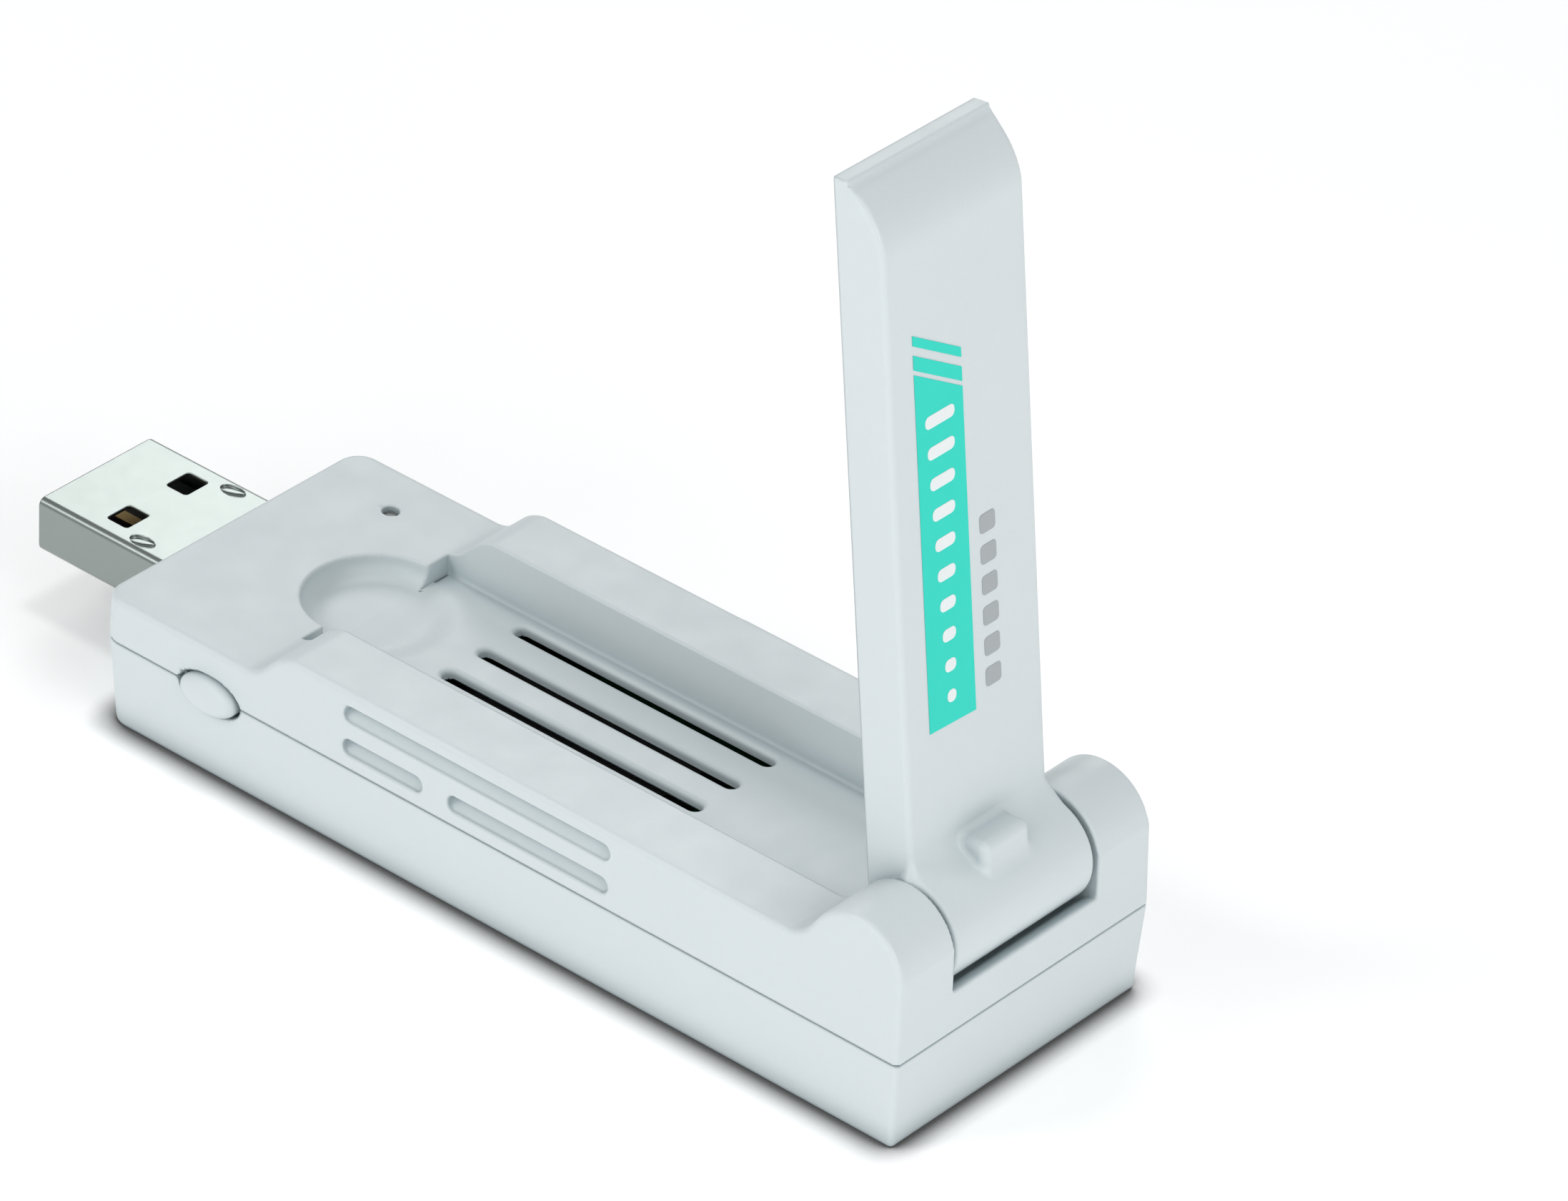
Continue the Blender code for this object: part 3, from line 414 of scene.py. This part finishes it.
def push_button_field(x, y, z):
    """The domed cap, the flange that keeps it in the case and the stem that meets the switch."""
    along = x - BUTTON_X
    up = z - BUTTON_Z
    face = oval(along, up, BUTTON_HALF_X, BUTTON_HALF_Z)
    bulge = BUTTON_BULGE * ((along / BUTTON_HALF_X) ** 2 + (up / BUTTON_HALF_Z) ** 2)
    cap = meet(face, BUTTON_LOW.y + bulge - y, BUTTON_ROUND)
    cap = meet(cap, y - (BUTTON_HIGH.y - BUTTON_CAP))
    start, end = [behind - HALF_WIDTH for behind in FLANGE_BEHIND]
    flange = meet(oval(along, up, *FLANGE_HALF), span(y, start, end), FLANGE_ROUND)
    stem = meet(disc(along, up, (0.0, 0.0), BUTTON_STEM), span(y, start, BUTTON_HIGH.y))
    return join(join(cap, flange), stem)


# Antenna ---------------------------------------------------------------------------------------


def blade_field(u, y, s):
    """The blade, sloped at its tip down to a lip along its back."""
    lean = radians(TIP_ANGLE)
    tip = (u - TIP_FACE) * cos(lean) + (s - TIP_OUT) * sin(lean)
    blade = meet(u - BLADE_FACE, tip, TIP_ROUND)
    lip = meet(u - (TIP_LIP_THICK - BLADE_BACK), s - BLADE_OUT, TIP_LIP_ROUND)
    blade = meet(join(blade, lip, TIP_LIP_FOOT), s - BLADE_OUT, BACK_EDGE)
    blade = meet(meet(blade, -BLADE_BACK - u, BACK_EDGE), -s)
    edge = BACK_EDGE + (BLADE_EDGE - BACK_EDGE) * ease(u, *EDGE_CHANGE)
    return meet(blade, np.abs(y) - BLADE_HALF, edge)


def antenna_shell_field(u, y, s):
    across = np.abs(y)
    barrel = meet(disc(u, s, (0.0, 0.0), BARREL), across - BARREL_HALF, BARREL_EDGE)
    least, most = ROOT_ROUND
    shell = join(blade_field(u, y, s), barrel, least + (most - least) * ease(u, *ROOT_CHANGE))
    nub = meet(meet(u - NUB_FACE, s - NUB_OUT, NUB_ROUND), across - NUB_HALF, NUB_ROUND)
    shell = join(shell, meet(nub, np.maximum(-u, -s)), NUB_FOOT)
    seat = span(s, COVER_OUT[0] - COVER_GAP, COVER_OUT[1] + COVER_GAP)
    seat = meet(seat, across - COVER_HALF - COVER_GAP, COVER_CORNER)
    shell = cut(shell, meet(seat, u - (COVER_THICK - BLADE_BACK)), SEAT_EDGE)
    shell = cut(shell, meet(seat, u - ROOM_FACE))
    shell = cut(shell, meet(disc(u, s, (0.0, 0.0), PIVOT_HOLE), PIVOT_START - across))
    return cut(shell, meet(disc(u, s, (0.0, 0.0), WASHER_SEAT), WASHER_START - across))


def back_cover_field(u, y, s):
    across = np.abs(y)
    plate = meet(span(s, *COVER_OUT), across - COVER_HALF, COVER_CORNER)
    cover = meet(plate, span(u, -BLADE_BACK, COVER_THICK - BLADE_BACK), COVER_EDGE)
    for start in PADS:
        pad = meet(span(s, start, start + PAD_LONG), across - PAD_HALF, PAD_CORNER)
        pad = meet(pad, span(u, -BLADE_BACK - PAD_HIGH, -BLADE_BACK + PAD_ROOT), PAD_ROUND)
        cover = join(cover, pad, PAD_FOOT)
    return cover


# Plug ------------------------------------------------------------------------------------------


def cut_stamps(tube, x, y, z):
    """Presses an oval into the top near each side, with a leaf left standing in it."""
    top = SLEEVE_HIGH.z
    along = x - sum(STAMP_X) / 2
    across = np.abs(y) - STAMP_Y
    pressed = meet(oval(along, across, *STAMP_HALF), top - STAMP_DEPTH - z, STAMP_EDGE)
    tube = cut(tube, pressed, STAMP_EDGE)
    lean = radians(LEAF_LEAN)
    turned = np.where(y > 0, y - STAMP_Y, y + STAMP_Y)
    leaf_long = along * cos(lean) + turned * sin(lean)
    leaf_wide = turned * cos(lean) - along * sin(lean)
    leaf = oval(leaf_long, leaf_wide, *LEAF_HALF)
    return join(tube, meet(leaf, span(z, top - SHEET, top - LEAF_LOW), STAMP_EDGE), STAMP_EDGE)


def usb_sleeve_field(x, y, z):
    up = z - PLUG_Z
    half_y, half_z = SLEEVE_HIGH.y, SLEEVE_HIGH.z - PLUG_Z
    outer = rounded_rectangle(y, up, half_y, half_z, SHEET_BEND)
    inner = rounded_rectangle(y, up, half_y - SHEET, half_z - SHEET, SHEET_BEND - SHEET)
    tube = meet(cut(outer, inner, SHEET_EDGE), span(x, SLEEVE_LOW.x, SLEEVE_HIGH.x), SHEET_EDGE)
    from_latch = x - sum(LATCH_X) / 2
    half_x = (LATCH_X[1] - LATCH_X[0]) / 2
    latch = rounded_rectangle(from_latch, np.abs(y) - LATCH_Y, half_x, LATCH_HALF, LATCH_CORNER)
    return cut_stamps(cut(tube, latch, LATCH_EDGE), x, y, z)


# Meshing ---------------------------------------------------------------------------------------


WIDENING = 0.35
MARGIN = 1.0
SETTLE_ROUNDS = 4
FLAT_WITHIN = 0.3


def grid_lines(low, high, fine, coarse, spots):
    """Places from low to high, close together in the spots and wider apart away from them."""
    found = [low]
    while found[-1] < high:
        here = found[-1]
        away = min(max(a - here, here - b, 0.0) for a, b in spots)
        found.append(here + min(coarse, fine + WIDENING * away))
    return np.array(found)


def surface_net(field, lines):
    """Points and quads of the field's zero level: one point in each cell that it crosses."""
    x, y, z = lines
    values = np.broadcast_to(
        field(x[:, None, None], y[None, :, None], z[None, None, :]), (len(x), len(y), len(z))
    )
    rings, places = [], []
    for axis in range(3):
        ahead = np.moveaxis(values, axis, 0)
        crossed = np.nonzero((ahead[:-1] < 0) != (ahead[1:] < 0))
        start, end = ahead[:-1][crossed], ahead[1:][crossed]
        index = np.stack(crossed, axis=1)
        index = np.insert(index[:, 1:], axis, index[:, 0], axis=1)
        place = np.stack([line[index[:, k]] for k, line in enumerate(lines)], axis=1)
        step = lines[axis][index[:, axis] + 1] - place[:, axis]
        place[:, axis] += step * start / (start - end)
        corners = []
        for shift_p, shift_q in ((1, 1), (0, 1), (0, 0), (1, 0)):
            cell = index.copy()
            cell[:, (axis + 1) % 3] -= shift_p
            cell[:, (axis + 2) % 3] -= shift_q
            corners.append(np.ravel_multi_index(cell.T, values.shape))
        ring = np.stack(corners, axis=1)
        rings.append(np.where((start < 0)[:, None], ring, ring[:, ::-1]))
        places.append(place)
    rings = np.concatenate(rings)
    places = np.repeat(np.concatenate(places), 4, axis=0)
    _, owner = np.unique(rings, return_inverse=True)
    owner = owner.reshape(-1)
    count = np.bincount(owner)
    points = np.stack([np.bincount(owner, places[:, k]) / count for k in range(3)], axis=1)
    return points, owner.reshape(-1, 4)


def gradient(field, points, step=0.004):
    slopes = []
    for k in range(3):
        shift = np.zeros(3)
        shift[k] = step
        slopes.append(field(*(points + shift).T) - field(*(points - shift).T))
    return np.stack(slopes, axis=1) / (2 * step)


def settle(field, points, longest=0.15):
    """Moves the points onto the field's zero level."""
    for _ in range(SETTLE_ROUNDS):
        slope = gradient(field, points)
        size = np.maximum((slope**2).sum(axis=1), 0.3)
        points = points - slope * np.clip(field(*points.T) / size, -longest, longest)[:, None]
    return points


def mesh_of(name, field, low, high, spots, fine, coarse, place=Matrix()):
    """A mesh object on the field's zero level, with its flat stretches merged and exact normals."""
    lines = [
        grid_lines(start - MARGIN, end + MARGIN, fine, coarse, close)
        for start, end, close in zip(low, high, spots)
    ]
    points, quads = surface_net(field, lines)
    points = settle(field, points)
    shape = bmesh.new()
    made = [shape.verts.new(point) for point in points]
    for quad in quads:
        shape.faces.new([made[i] for i in quad])
    flat = radians(FLAT_WITHIN)
    bmesh.ops.dissolve_limit(shape, angle_limit=flat, verts=shape.verts, edges=shape.edges)
    mesh = bpy.data.meshes.new(name)
    shape.to_mesh(mesh)
    shape.free()
    kept = np.empty(len(mesh.vertices) * 3)
    mesh.vertices.foreach_get("co", kept)
    normals = gradient(field, kept.reshape(-1, 3))
    normals /= np.maximum(np.linalg.norm(normals, axis=1), 1e-6)[:, None]
    mesh.transform(place @ Matrix.Scale(MM, 4))
    turned = normals @ np.array(place.to_3x3()).T
    mesh.shade_smooth()
    mesh.normals_split_custom_set_from_vertices(turned.tolist())
    thing = bpy.data.objects.new(name, mesh)
    bpy.context.scene.collection.objects.link(thing)
    return thing


def antenna_place():
    turn = Matrix.Rotation(radians(DISPLAY_ANGLE - 90), 4, "Y")
    return Matrix.Translation(Vector((HINGE_X, 0.0, HINGE_Z)) * MM) @ turn


EVERYWHERE = [(-1000.0, 1000.0)]


def make_shells(white):
    x_spots = [
        (PLUG_END, PLUG_END + 2.5),
        (BED_X - SCOOP - 0.5, BED_X + DISH),
        (VENT_X[0] - 0.5, GROOVES[0][0] + 1),
        (GROOVES[1][1] - 1, GROOVES[2][0] + 1),
        (VENT_X[1] - 1, GROOVES[0][1] + 0.5),
        (HINGE_X - 6.5, HINGE_END),
    ]
    y_spots = [
        (-HALF_WIDTH, -HALF_WIDTH + 1.6),
        (HALF_WIDTH - 1.2, HALF_WIDTH),
        (-BED_HALF - 0.5, BED_HALF + 0.5),
        (LIGHT_Y - 0.8, LIGHT_Y + 0.8),
    ]
    upper = mesh_of(
        "case_upper",
        upper_shell_field,
        (PLUG_END, -HALF_WIDTH, SEAM),
        (HINGE_END, HALF_WIDTH, HINGE_Z + EAR),
        (x_spots, y_spots, EVERYWHERE),
        FINE,
        1.5,
    )
    finish_piece(upper, white, "housing", "upper_shell")
    lower = mesh_of(
        "case_lower",
        lower_shell_field,
        (PLUG_END, -HALF_WIDTH, 0),
        (HINGE_END, HALF_WIDTH, SEAM + REBATE_DEPTH),
        (
            [(PLUG_END, PLUG_END + 2.5), (BUTTON_LOW.x, BUTTON_HIGH.x), (HINGE_END - 1.6, HINGE_END)],
            [(-HALF_WIDTH, -HALF_WIDTH + 1.6), (-6.5, -5.5), (5.5, 6.5), (HALF_WIDTH - 1.6, HALF_WIDTH)],
            [(0, 1.5), (SLEEVE_LOW.z - 0.3, SEAM + 1)],
        ),
        FINE,
        2.5,
    )
    finish_piece(lower, white, "housing", "lower_shell")
    button = mesh_of(
        "button_cap",
        push_button_field,
        (BUTTON_LOW.x, BUTTON_LOW.y, BUTTON_LOW.z),
        (BUTTON_HIGH.x, BUTTON_HIGH.y, BUTTON_HIGH.z),
        (EVERYWHERE, EVERYWHERE, EVERYWHERE),
        0.14,
        0.14,
    )
    finish_piece(button, white, "button", "push_button")


def make_antenna(white):
    y_spots = [
        (-BARREL_HALF, -5.4),
        (-NUB_HALF - 0.6, -NUB_HALF + 0.6),
        (NUB_HALF - 0.6, NUB_HALF + 0.6),
        (5.4, BARREL_HALF),
    ]
    shell = mesh_of(
        "antenna_blade",
        antenna_shell_field,
        (-BARREL, -BARREL_HALF, -BARREL),
        (BARREL, BARREL_HALF, BLADE_OUT),
        (EVERYWHERE, y_spots, [(-BARREL, 7), (COVER_OUT[1] - 1, BLADE_OUT)]),
        FINE,
        2.5,
        antenna_place(),
    )
    finish_piece(shell, white, "antenna", "antenna_shell")
    edges = [(edge - 0.6, edge + 0.6) for start in PADS for edge in (start, start + PAD_LONG)]
    cover = mesh_of(
        "antenna_cover",
        back_cover_field,
        (-BLADE_BACK - PAD_HIGH, -COVER_HALF, COVER_OUT[0]),
        (COVER_THICK - BLADE_BACK, COVER_HALF, COVER_OUT[1]),
        (
            EVERYWHERE,
            [(-COVER_HALF, -PAD_HALF + 0.6), (PAD_HALF - 0.6, COVER_HALF)],
            [(COVER_OUT[0], COVER_OUT[0] + 0.8), (COVER_OUT[1] - 0.8, COVER_OUT[1])] + edges,
        ),
        0.12,
        2.5,
        antenna_place(),
    )
    finish_piece(cover, white, "antenna", "antenna_back_cover")


def make_plug(steel):
    sleeve = mesh_of(
        "plug_shell",
        usb_sleeve_field,
        SLEEVE_LOW,
        SLEEVE_HIGH,
        (
            [(SLEEVE_LOW.x, SLEEVE_LOW.x + 0.4), (LATCH_X[0] - 0.3, LATCH_X[1] + 0.3), STAMP_X],
            [(SLEEVE_LOW.y, -4.1), (-2.2, -1.6), (1.6, 2.2), (4.1, SLEEVE_HIGH.y)],
            [(SLEEVE_LOW.z, SLEEVE_LOW.z + 1), (SLEEVE_HIGH.z - 1, SLEEVE_HIGH.z)],
        ),
        0.08,
        1.5,
    )
    finish_piece(sleeve, steel, "housing", "usb_sleeve")


def finish_piece(piece, finish, body, node):
    piece.data.materials.append(finish)
    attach(piece, body)
    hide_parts(node)


# Printed band ----------------------------------------------------------------------------------

PRINT_THICK = 0.02
PRINT_LIFT = 0.012
MARK_LIFT = 0.036
BAND_LOW = (14.3, 14.05)
BAND_Y = (-4.75, 0.1)
BAND_SLANT = 2.85
BAND_TOP = 41.65
STRIPES = ((42.0, 43.1), (43.8, 44.55))
MARK_Y = -2.35
MARK_HALF = (0.45, 1.5)
MARK_OUT = (15.8, 38.0)
MARKS = 10
MARK_LENGTH = 0.95
MARK_CORNER = 0.4
SIDE_MARKS = 6
SIDE_MARK_Y = (1.25, 2.85)
SIDE_MARK_OUT = 15.2
SIDE_MARK_PITCH = 2.35
SIDE_MARK_LENGTH = 1.45
SIDE_MARK_CORNER = 0.3


def print_patch(name, outline, finish, lift=PRINT_LIFT):
    """A thin patch of ink on the blade's face, from pairs of across and out."""
    shape = bmesh.new()
    face = BLADE_FACE + lift
    low = [shape.verts.new((face, y, s)) for y, s in outline]
    high = [shape.verts.new((face + PRINT_THICK, y, s)) for y, s in outline]
    shape.faces.new(reversed(low))
    shape.faces.new(high)
    for i in range(len(outline)):
        j = (i + 1) % len(outline)
        shape.faces.new((low[i], low[j], high[j], high[i]))
    bmesh.ops.recalc_face_normals(shape, faces=shape.faces)
    mesh = bpy.data.meshes.new(name)
    shape.to_mesh(mesh)
    shape.free()
    mesh.transform(antenna_place() @ Matrix.Scale(MM, 4))
    thing = bpy.data.objects.new(name, mesh)
    bpy.context.scene.collection.objects.link(thing)
    mesh.materials.append(finish)
    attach(thing, "antenna")


def pill(low_y, high_y, low_out, high_out, corner):
    """A rounded bar's outline, from pairs of across and out."""
    points = []
    turns = ((high_y, high_out, 0), (low_y, high_out, 90), (low_y, low_out, 180), (high_y, low_out, 270))
    for y, s, start in turns:
        y_centre = min(max(y, low_y + corner), high_y - corner)
        s_centre = min(max(s, low_out + corner), high_out - corner)
        for step in range(5):
            a = radians(start + 22.5 * step)
            points.append((y_centre + corner * cos(a), s_centre + corner * sin(a)))
    return points


def slanted(start, end):
    """The band's outline between two places out along its left edge, with slanted ends."""
    left, right = BAND_Y
    return [(left, start), (right, start - BAND_SLANT), (right, end - BAND_SLANT), (left, end)]


def make_print(teal, pale, grey):
    left, right = BAND_Y
    top = [(right, BAND_TOP - BAND_SLANT), (left, BAND_TOP)]
    print_patch("print_band", [(left, BAND_LOW[0]), (right, BAND_LOW[1])] + top, teal)
    for i, (start, end) in enumerate(STRIPES):
        print_patch(f"print_stripe_{i + 1}", slanted(start, end), teal)
    narrow, wide = MARK_HALF
    first, last = MARK_OUT
    for i in range(MARKS):
        along = i / (MARKS - 1)
        half = narrow + (wide - narrow) * along
        start = first + (last - first - MARK_LENGTH) * along
        bar = pill(MARK_Y - half, MARK_Y + half, start, start + MARK_LENGTH, MARK_CORNER)
        print_patch(f"print_mark_{i + 1}", bar, pale, MARK_LIFT)
    for i in range(SIDE_MARKS):
        start = SIDE_MARK_OUT + i * SIDE_MARK_PITCH
        bar = pill(*SIDE_MARK_Y, start, start + SIDE_MARK_LENGTH, SIDE_MARK_CORNER)
        print_patch(f"print_side_mark_{i + 1}", bar, grey)


# Materials -------------------------------------------------------------------------------------


def new_material(name, colour, roughness, metallic=0.0):
    made = bpy.data.materials.new(name)
    made.use_nodes = True
    shader = made.node_tree.nodes["Principled BSDF"]
    shader.inputs["Base Color"].default_value = (*colour, 1)
    shader.inputs["Roughness"].default_value = roughness
    shader.inputs["Metallic"].default_value = metallic
    return made, shader, made.node_tree


def noise(tree, scale, detail=2.0):
    place = tree.nodes.new("ShaderNodeTexCoord")
    made = tree.nodes.new("ShaderNodeTexNoise")
    made.inputs["Scale"].default_value = scale
    made.inputs["Detail"].default_value = detail
    tree.links.new(place.outputs["Object"], made.inputs["Vector"])
    return made.outputs["Fac"]


def remap(tree, value, old, new):
    """Maps the old range of the value onto the new one, and holds it at the ends."""
    made = tree.nodes.new("ShaderNodeMapRange")
    made.inputs["From Min"].default_value = old[0]
    made.inputs["From Max"].default_value = old[1]
    made.inputs["To Min"].default_value = new[0]
    made.inputs["To Max"].default_value = new[1]
    tree.links.new(value, made.inputs["Value"])
    return made.outputs["Result"]


def tint(tree, shader, colour, value, amount):
    """Darkens the colour with the value, by the amount at most."""
    mix = tree.nodes.new("ShaderNodeMix")
    mix.data_type = "RGBA"
    mix.inputs["A"].default_value = (*colour, 1)
    mix.inputs["B"].default_value = (*[c * (1 - amount) for c in colour], 1)
    tree.links.new(value, mix.inputs["Factor"])
    tree.links.new(mix.outputs["Result"], shader.inputs["Base Color"])
    return mix.outputs["Result"]


def roughen(tree, shader, value, low, high):
    """Spreads the roughness from low to high over the middle of a noise's range."""
    tree.links.new(remap(tree, value, (0.3, 0.7), (low, high)), shader.inputs["Roughness"])


def bump(tree, shader, value, height):
    made = tree.nodes.new("ShaderNodeBump")
    made.inputs["Distance"].default_value = height
    made.inputs["Strength"].default_value = 1.0
    tree.links.new(value, made.inputs["Height"])
    tree.links.new(made.outputs["Normal"], shader.inputs["Normal"])


def painted_occlusion_shade(tree, distance, dark):
    """A factor for painted shade: one in the open, and down to the dark value where surfaces this close hide half
    of the sky.
    """
    near = tree.nodes.new("ShaderNodeAmbientOcclusion")
    near.inputs["Distance"].default_value = distance
    near.samples = 8
    return remap(tree, near.outputs["AO"], (0.5, 0.97), (dark, 1.0))


GRAIN = 6000.0
GRAIN_HEIGHT = 0.000012
METAL_GRAIN = 9000.0
METAL_HEIGHT = 0.0000008
INK_GRAIN = 7000.0
INK_HEIGHT = 0.000006
INK_ROUGHNESS = 0.42
INK_SHINE = 0.25
WHITE = (0.66, 0.715, 0.73)
# Colour of the painted shade in the case's corners and hollows
PAINTED_HOLLOW_SHADE = (0.42, 0.5, 0.52)
TEAL = (0.022, 0.7, 0.565)
PALE = (0.84, 0.88, 0.88)
GREY = (0.4, 0.43, 0.44)
PLUG_STEEL = (0.315, 0.35, 0.335)


def moulded(name, colour, roughness, grain=GRAIN, height=GRAIN_HEIGHT, tint_by=0.03):
    """Moulded plastic with a fine eroded grain and faint cloudiness."""
    made, shader, tree = new_material(name, colour, roughness)
    tint(tree, shader, colour, noise(tree, 90.0, 3.0), tint_by)
    roughen(tree, shader, noise(tree, 350.0), roughness - 0.05, roughness + 0.05)
    bump(tree, shader, noise(tree, grain), height)
    return made


def white_plastic():
    """The case's plastic, with painted shade that greys it in its corners and hollows."""
    made, shader, tree = new_material("white_plastic_fine", WHITE, 0.45)
    base = tint(tree, shader, WHITE, noise(tree, 90.0, 3.0), 0.03)
    # Painted shade: the base colour turns grey where nearby surfaces hide the sky
    mix = tree.nodes.new("ShaderNodeMix")
    mix.data_type = "RGBA"
    mix.inputs["A"].default_value = (*PAINTED_HOLLOW_SHADE, 1)
    tree.links.new(base, mix.inputs["B"])
    tree.links.new(painted_occlusion_shade(tree, 0.0022, 0.35), mix.inputs["Factor"])
    tree.links.new(mix.outputs["Result"], shader.inputs["Base Color"])
    roughen(tree, shader, noise(tree, 350.0), 0.4, 0.5)
    bump(tree, shader, noise(tree, GRAIN), GRAIN_HEIGHT)
    return made


def rolled_metal(name, colour, roughness):
    """Sheet metal, a little uneven in its colour and polish."""
    made, shader, tree = new_material(name, colour, roughness, 1.0)
    tint(tree, shader, colour, noise(tree, 400.0, 4.0), 0.05)
    roughen(tree, shader, noise(tree, 900.0, 3.0), roughness, roughness + 0.015)
    bump(tree, shader, noise(tree, METAL_GRAIN), METAL_HEIGHT)
    return made


def ink(name, colour):
    made, shader, tree = new_material(name, colour, INK_ROUGHNESS)
    shader.inputs["Specular IOR Level"].default_value = INK_SHINE
    tint(tree, shader, colour, noise(tree, 500.0, 3.0), 0.05)
    bump(tree, shader, noise(tree, INK_GRAIN), INK_HEIGHT)
    return made


FINISHES = {
    "tinned_steel": lambda: rolled_metal("tinned", (0.62, 0.62, 0.6), 0.38),
    "plug_steel": lambda: rolled_metal("pin_steel", (0.6, 0.6, 0.58), 0.3),
    "gold_plating": lambda: rolled_metal("gold", (0.55, 0.36, 0.16), 0.25),
    "insulator_blue": lambda: moulded("insulator", (0.015, 0.015, 0.018), 0.5),
    "board_green": lambda: moulded("solder_mask", (0.015, 0.12, 0.05), 0.35, 1500.0, 0.00001, 0.3),
    "package_black": lambda: moulded("package", (0.02, 0.02, 0.022), 0.5),
    "ferrite_grey": lambda: moulded("ferrite", (0.12, 0.12, 0.13), 0.65),
    # Painted shade: a near-black matte finish for the shield under the vents
    "film_black": lambda: moulded("shield_painted_shade", (0.008, 0.008, 0.009), 0.85),
    "light_guide": lambda: moulded("light_guide", (0.1, 0.11, 0.11), 0.25),
    "led_lens": lambda: moulded("led_lens", (0.75, 0.78, 0.6), 0.25),
    "lead_jacket": lambda: moulded("lead_jacket", (0.05, 0.05, 0.05), 0.45),
}


def dress_frame():
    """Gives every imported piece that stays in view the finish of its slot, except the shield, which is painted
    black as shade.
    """
    made = {}
    for entry in frame["record"]["subparts"]:
        # The shield is painted near black so that the vents look dark inside: painted shade, not its own finish
        slot_name = "film_black" if entry["node"] == "rf_shield" else entry["material_slot"]
        if slot_name not in FINISHES:
            continue
        if slot_name not in made:
            made[slot_name] = FINISHES[slot_name]()
        node = frame["nodes"][entry["node"]]
        node.data.materials.clear()
        node.data.materials.append(made[slot_name])


# Stage -----------------------------------------------------------------------------------------


FLOOR_SIZE = 6.0
FLOOR_WHITE = 0.95
FLOOR_GLOW = 0.2


def make_floor():
    """A white floor with a little glow, and a painted contact shadow that darkens it close around what stands on
    it.
    """
    bpy.ops.mesh.primitive_plane_add(size=FLOOR_SIZE, location=(0, 0, 0))
    floor = bpy.context.object
    floor.name = "floor"
    made, shader, tree = new_material("floor_white", (FLOOR_WHITE, FLOOR_WHITE, FLOOR_WHITE), 0.9)
    shader.inputs["Specular IOR Level"].default_value = 0.1
    shader.inputs["Emission Color"].default_value = (1, 1, 1, 1)
    # Painted contact shadow: both the colour and the glow fall where the object hides the sky close by
    shade = painted_occlusion_shade(tree, 0.0024, 0.12)
    for socket, most in (("Base Color", FLOOR_WHITE), ("Emission Strength", FLOOR_GLOW)):
        scale = tree.nodes.new("ShaderNodeMath")
        scale.operation = "MULTIPLY"
        scale.inputs[1].default_value = most
        tree.links.new(shade, scale.inputs[0])
        tree.links.new(scale.outputs["Value"], shader.inputs[socket])
    floor.data.materials.append(made)


# Name, azimuth and elevation in degrees, distance and diameter in metres, power in watts. The azimuth runs
# from the -Y direction towards +X.
LIGHTS = (
    ("left_key", -35, 40, 0.9, 0.35, 1.9),
    ("low_front", -5, 12, 0.9, 0.4, 1.4),
    ("right_near", 78, 26, 0.3, 0.2, 0.28),
    ("back_card", 219, 33, 0.9, 0.4, 1.3),
    ("top", 170, 82, 0.9, 0.15, 1.15),
)
LIGHTS_AIM_Z = 0.02
SKY = (0.96, 0.985, 1, 1)
SKY_STRENGTH = 0.38


def add_light(name, azimuth, elevation, distance, size, power):
    """A round lamp that looks at the object."""
    a, e = radians(azimuth), radians(elevation)
    away = Vector((sin(a) * cos(e), -cos(a) * cos(e), sin(e)))
    lamp = bpy.data.lights.new(name, "AREA")
    lamp.shape = "DISK"
    lamp.size = size
    lamp.energy = power
    thing = bpy.data.objects.new(name, lamp)
    thing.location = away * distance + Vector((0, 0, LIGHTS_AIM_Z))
    thing.rotation_euler = away.to_track_quat("Z", "Y").to_euler()
    bpy.context.scene.collection.objects.link(thing)


def make_lights():
    world = bpy.data.worlds.new("studio")
    world.use_nodes = True
    sky = world.node_tree.nodes["Background"]
    sky.inputs["Color"].default_value = SKY
    sky.inputs["Strength"].default_value = SKY_STRENGTH
    bpy.context.scene.world = world
    for light in LIGHTS:
        add_light(*light)


# Camera: azimuth from the -Y direction towards +X, elevation above the floor, roll, all in degrees;
# distance and offsets in metres, lens and sensor in millimetres
CAMERA_AZIMUTH = 39.176
CAMERA_ELEVATION = 33.467
CAMERA_ROLL = 3.056
CAMERA_DISTANCE = 0.6919
CAMERA_LENS = 217.2
SENSOR = 36.0
CAMERA_OFFSET = (0.04066, -0.00309)


def make_camera():
    """The camera looks along the two angles, and stands off from the plug end of the case."""
    a, e, r = radians(CAMERA_AZIMUTH), radians(CAMERA_ELEVATION), radians(CAMERA_ROLL)
    back = Vector((sin(a) * cos(e), -cos(a) * cos(e), sin(e)))
    right = Vector((cos(a), sin(a), 0.0))
    up = back.cross(right)
    turned_right = right * cos(r) + up * sin(r)
    turned_up = up * cos(r) - right * sin(r)
    place = Vector((PLUG_END * MM, 0.0, 0.0)) + back * CAMERA_DISTANCE
    place += turned_right * CAMERA_OFFSET[0] - turned_up * CAMERA_OFFSET[1]
    lens = bpy.data.cameras.new("camera")
    lens.sensor_width = SENSOR
    lens.lens = CAMERA_LENS
    lens.clip_start = 0.01
    lens.clip_end = 20
    camera = bpy.data.objects.new("camera", lens)
    camera.matrix_world = Matrix((turned_right, turned_up, back)).transposed().to_4x4()
    camera.location = place
    bpy.context.scene.collection.objects.link(camera)
    bpy.context.scene.camera = camera


make_camera()
make_floor()
make_lights()
bpy.context.scene.view_settings.view_transform = "Standard"
dress_frame()
white = white_plastic()
make_shells(white)
make_antenna(white)
make_plug(rolled_metal("plug_plate", PLUG_STEEL, 0.3))
make_print(ink("ink_teal", TEAL), ink("ink_pale", PALE), ink("ink_grey", GREY))
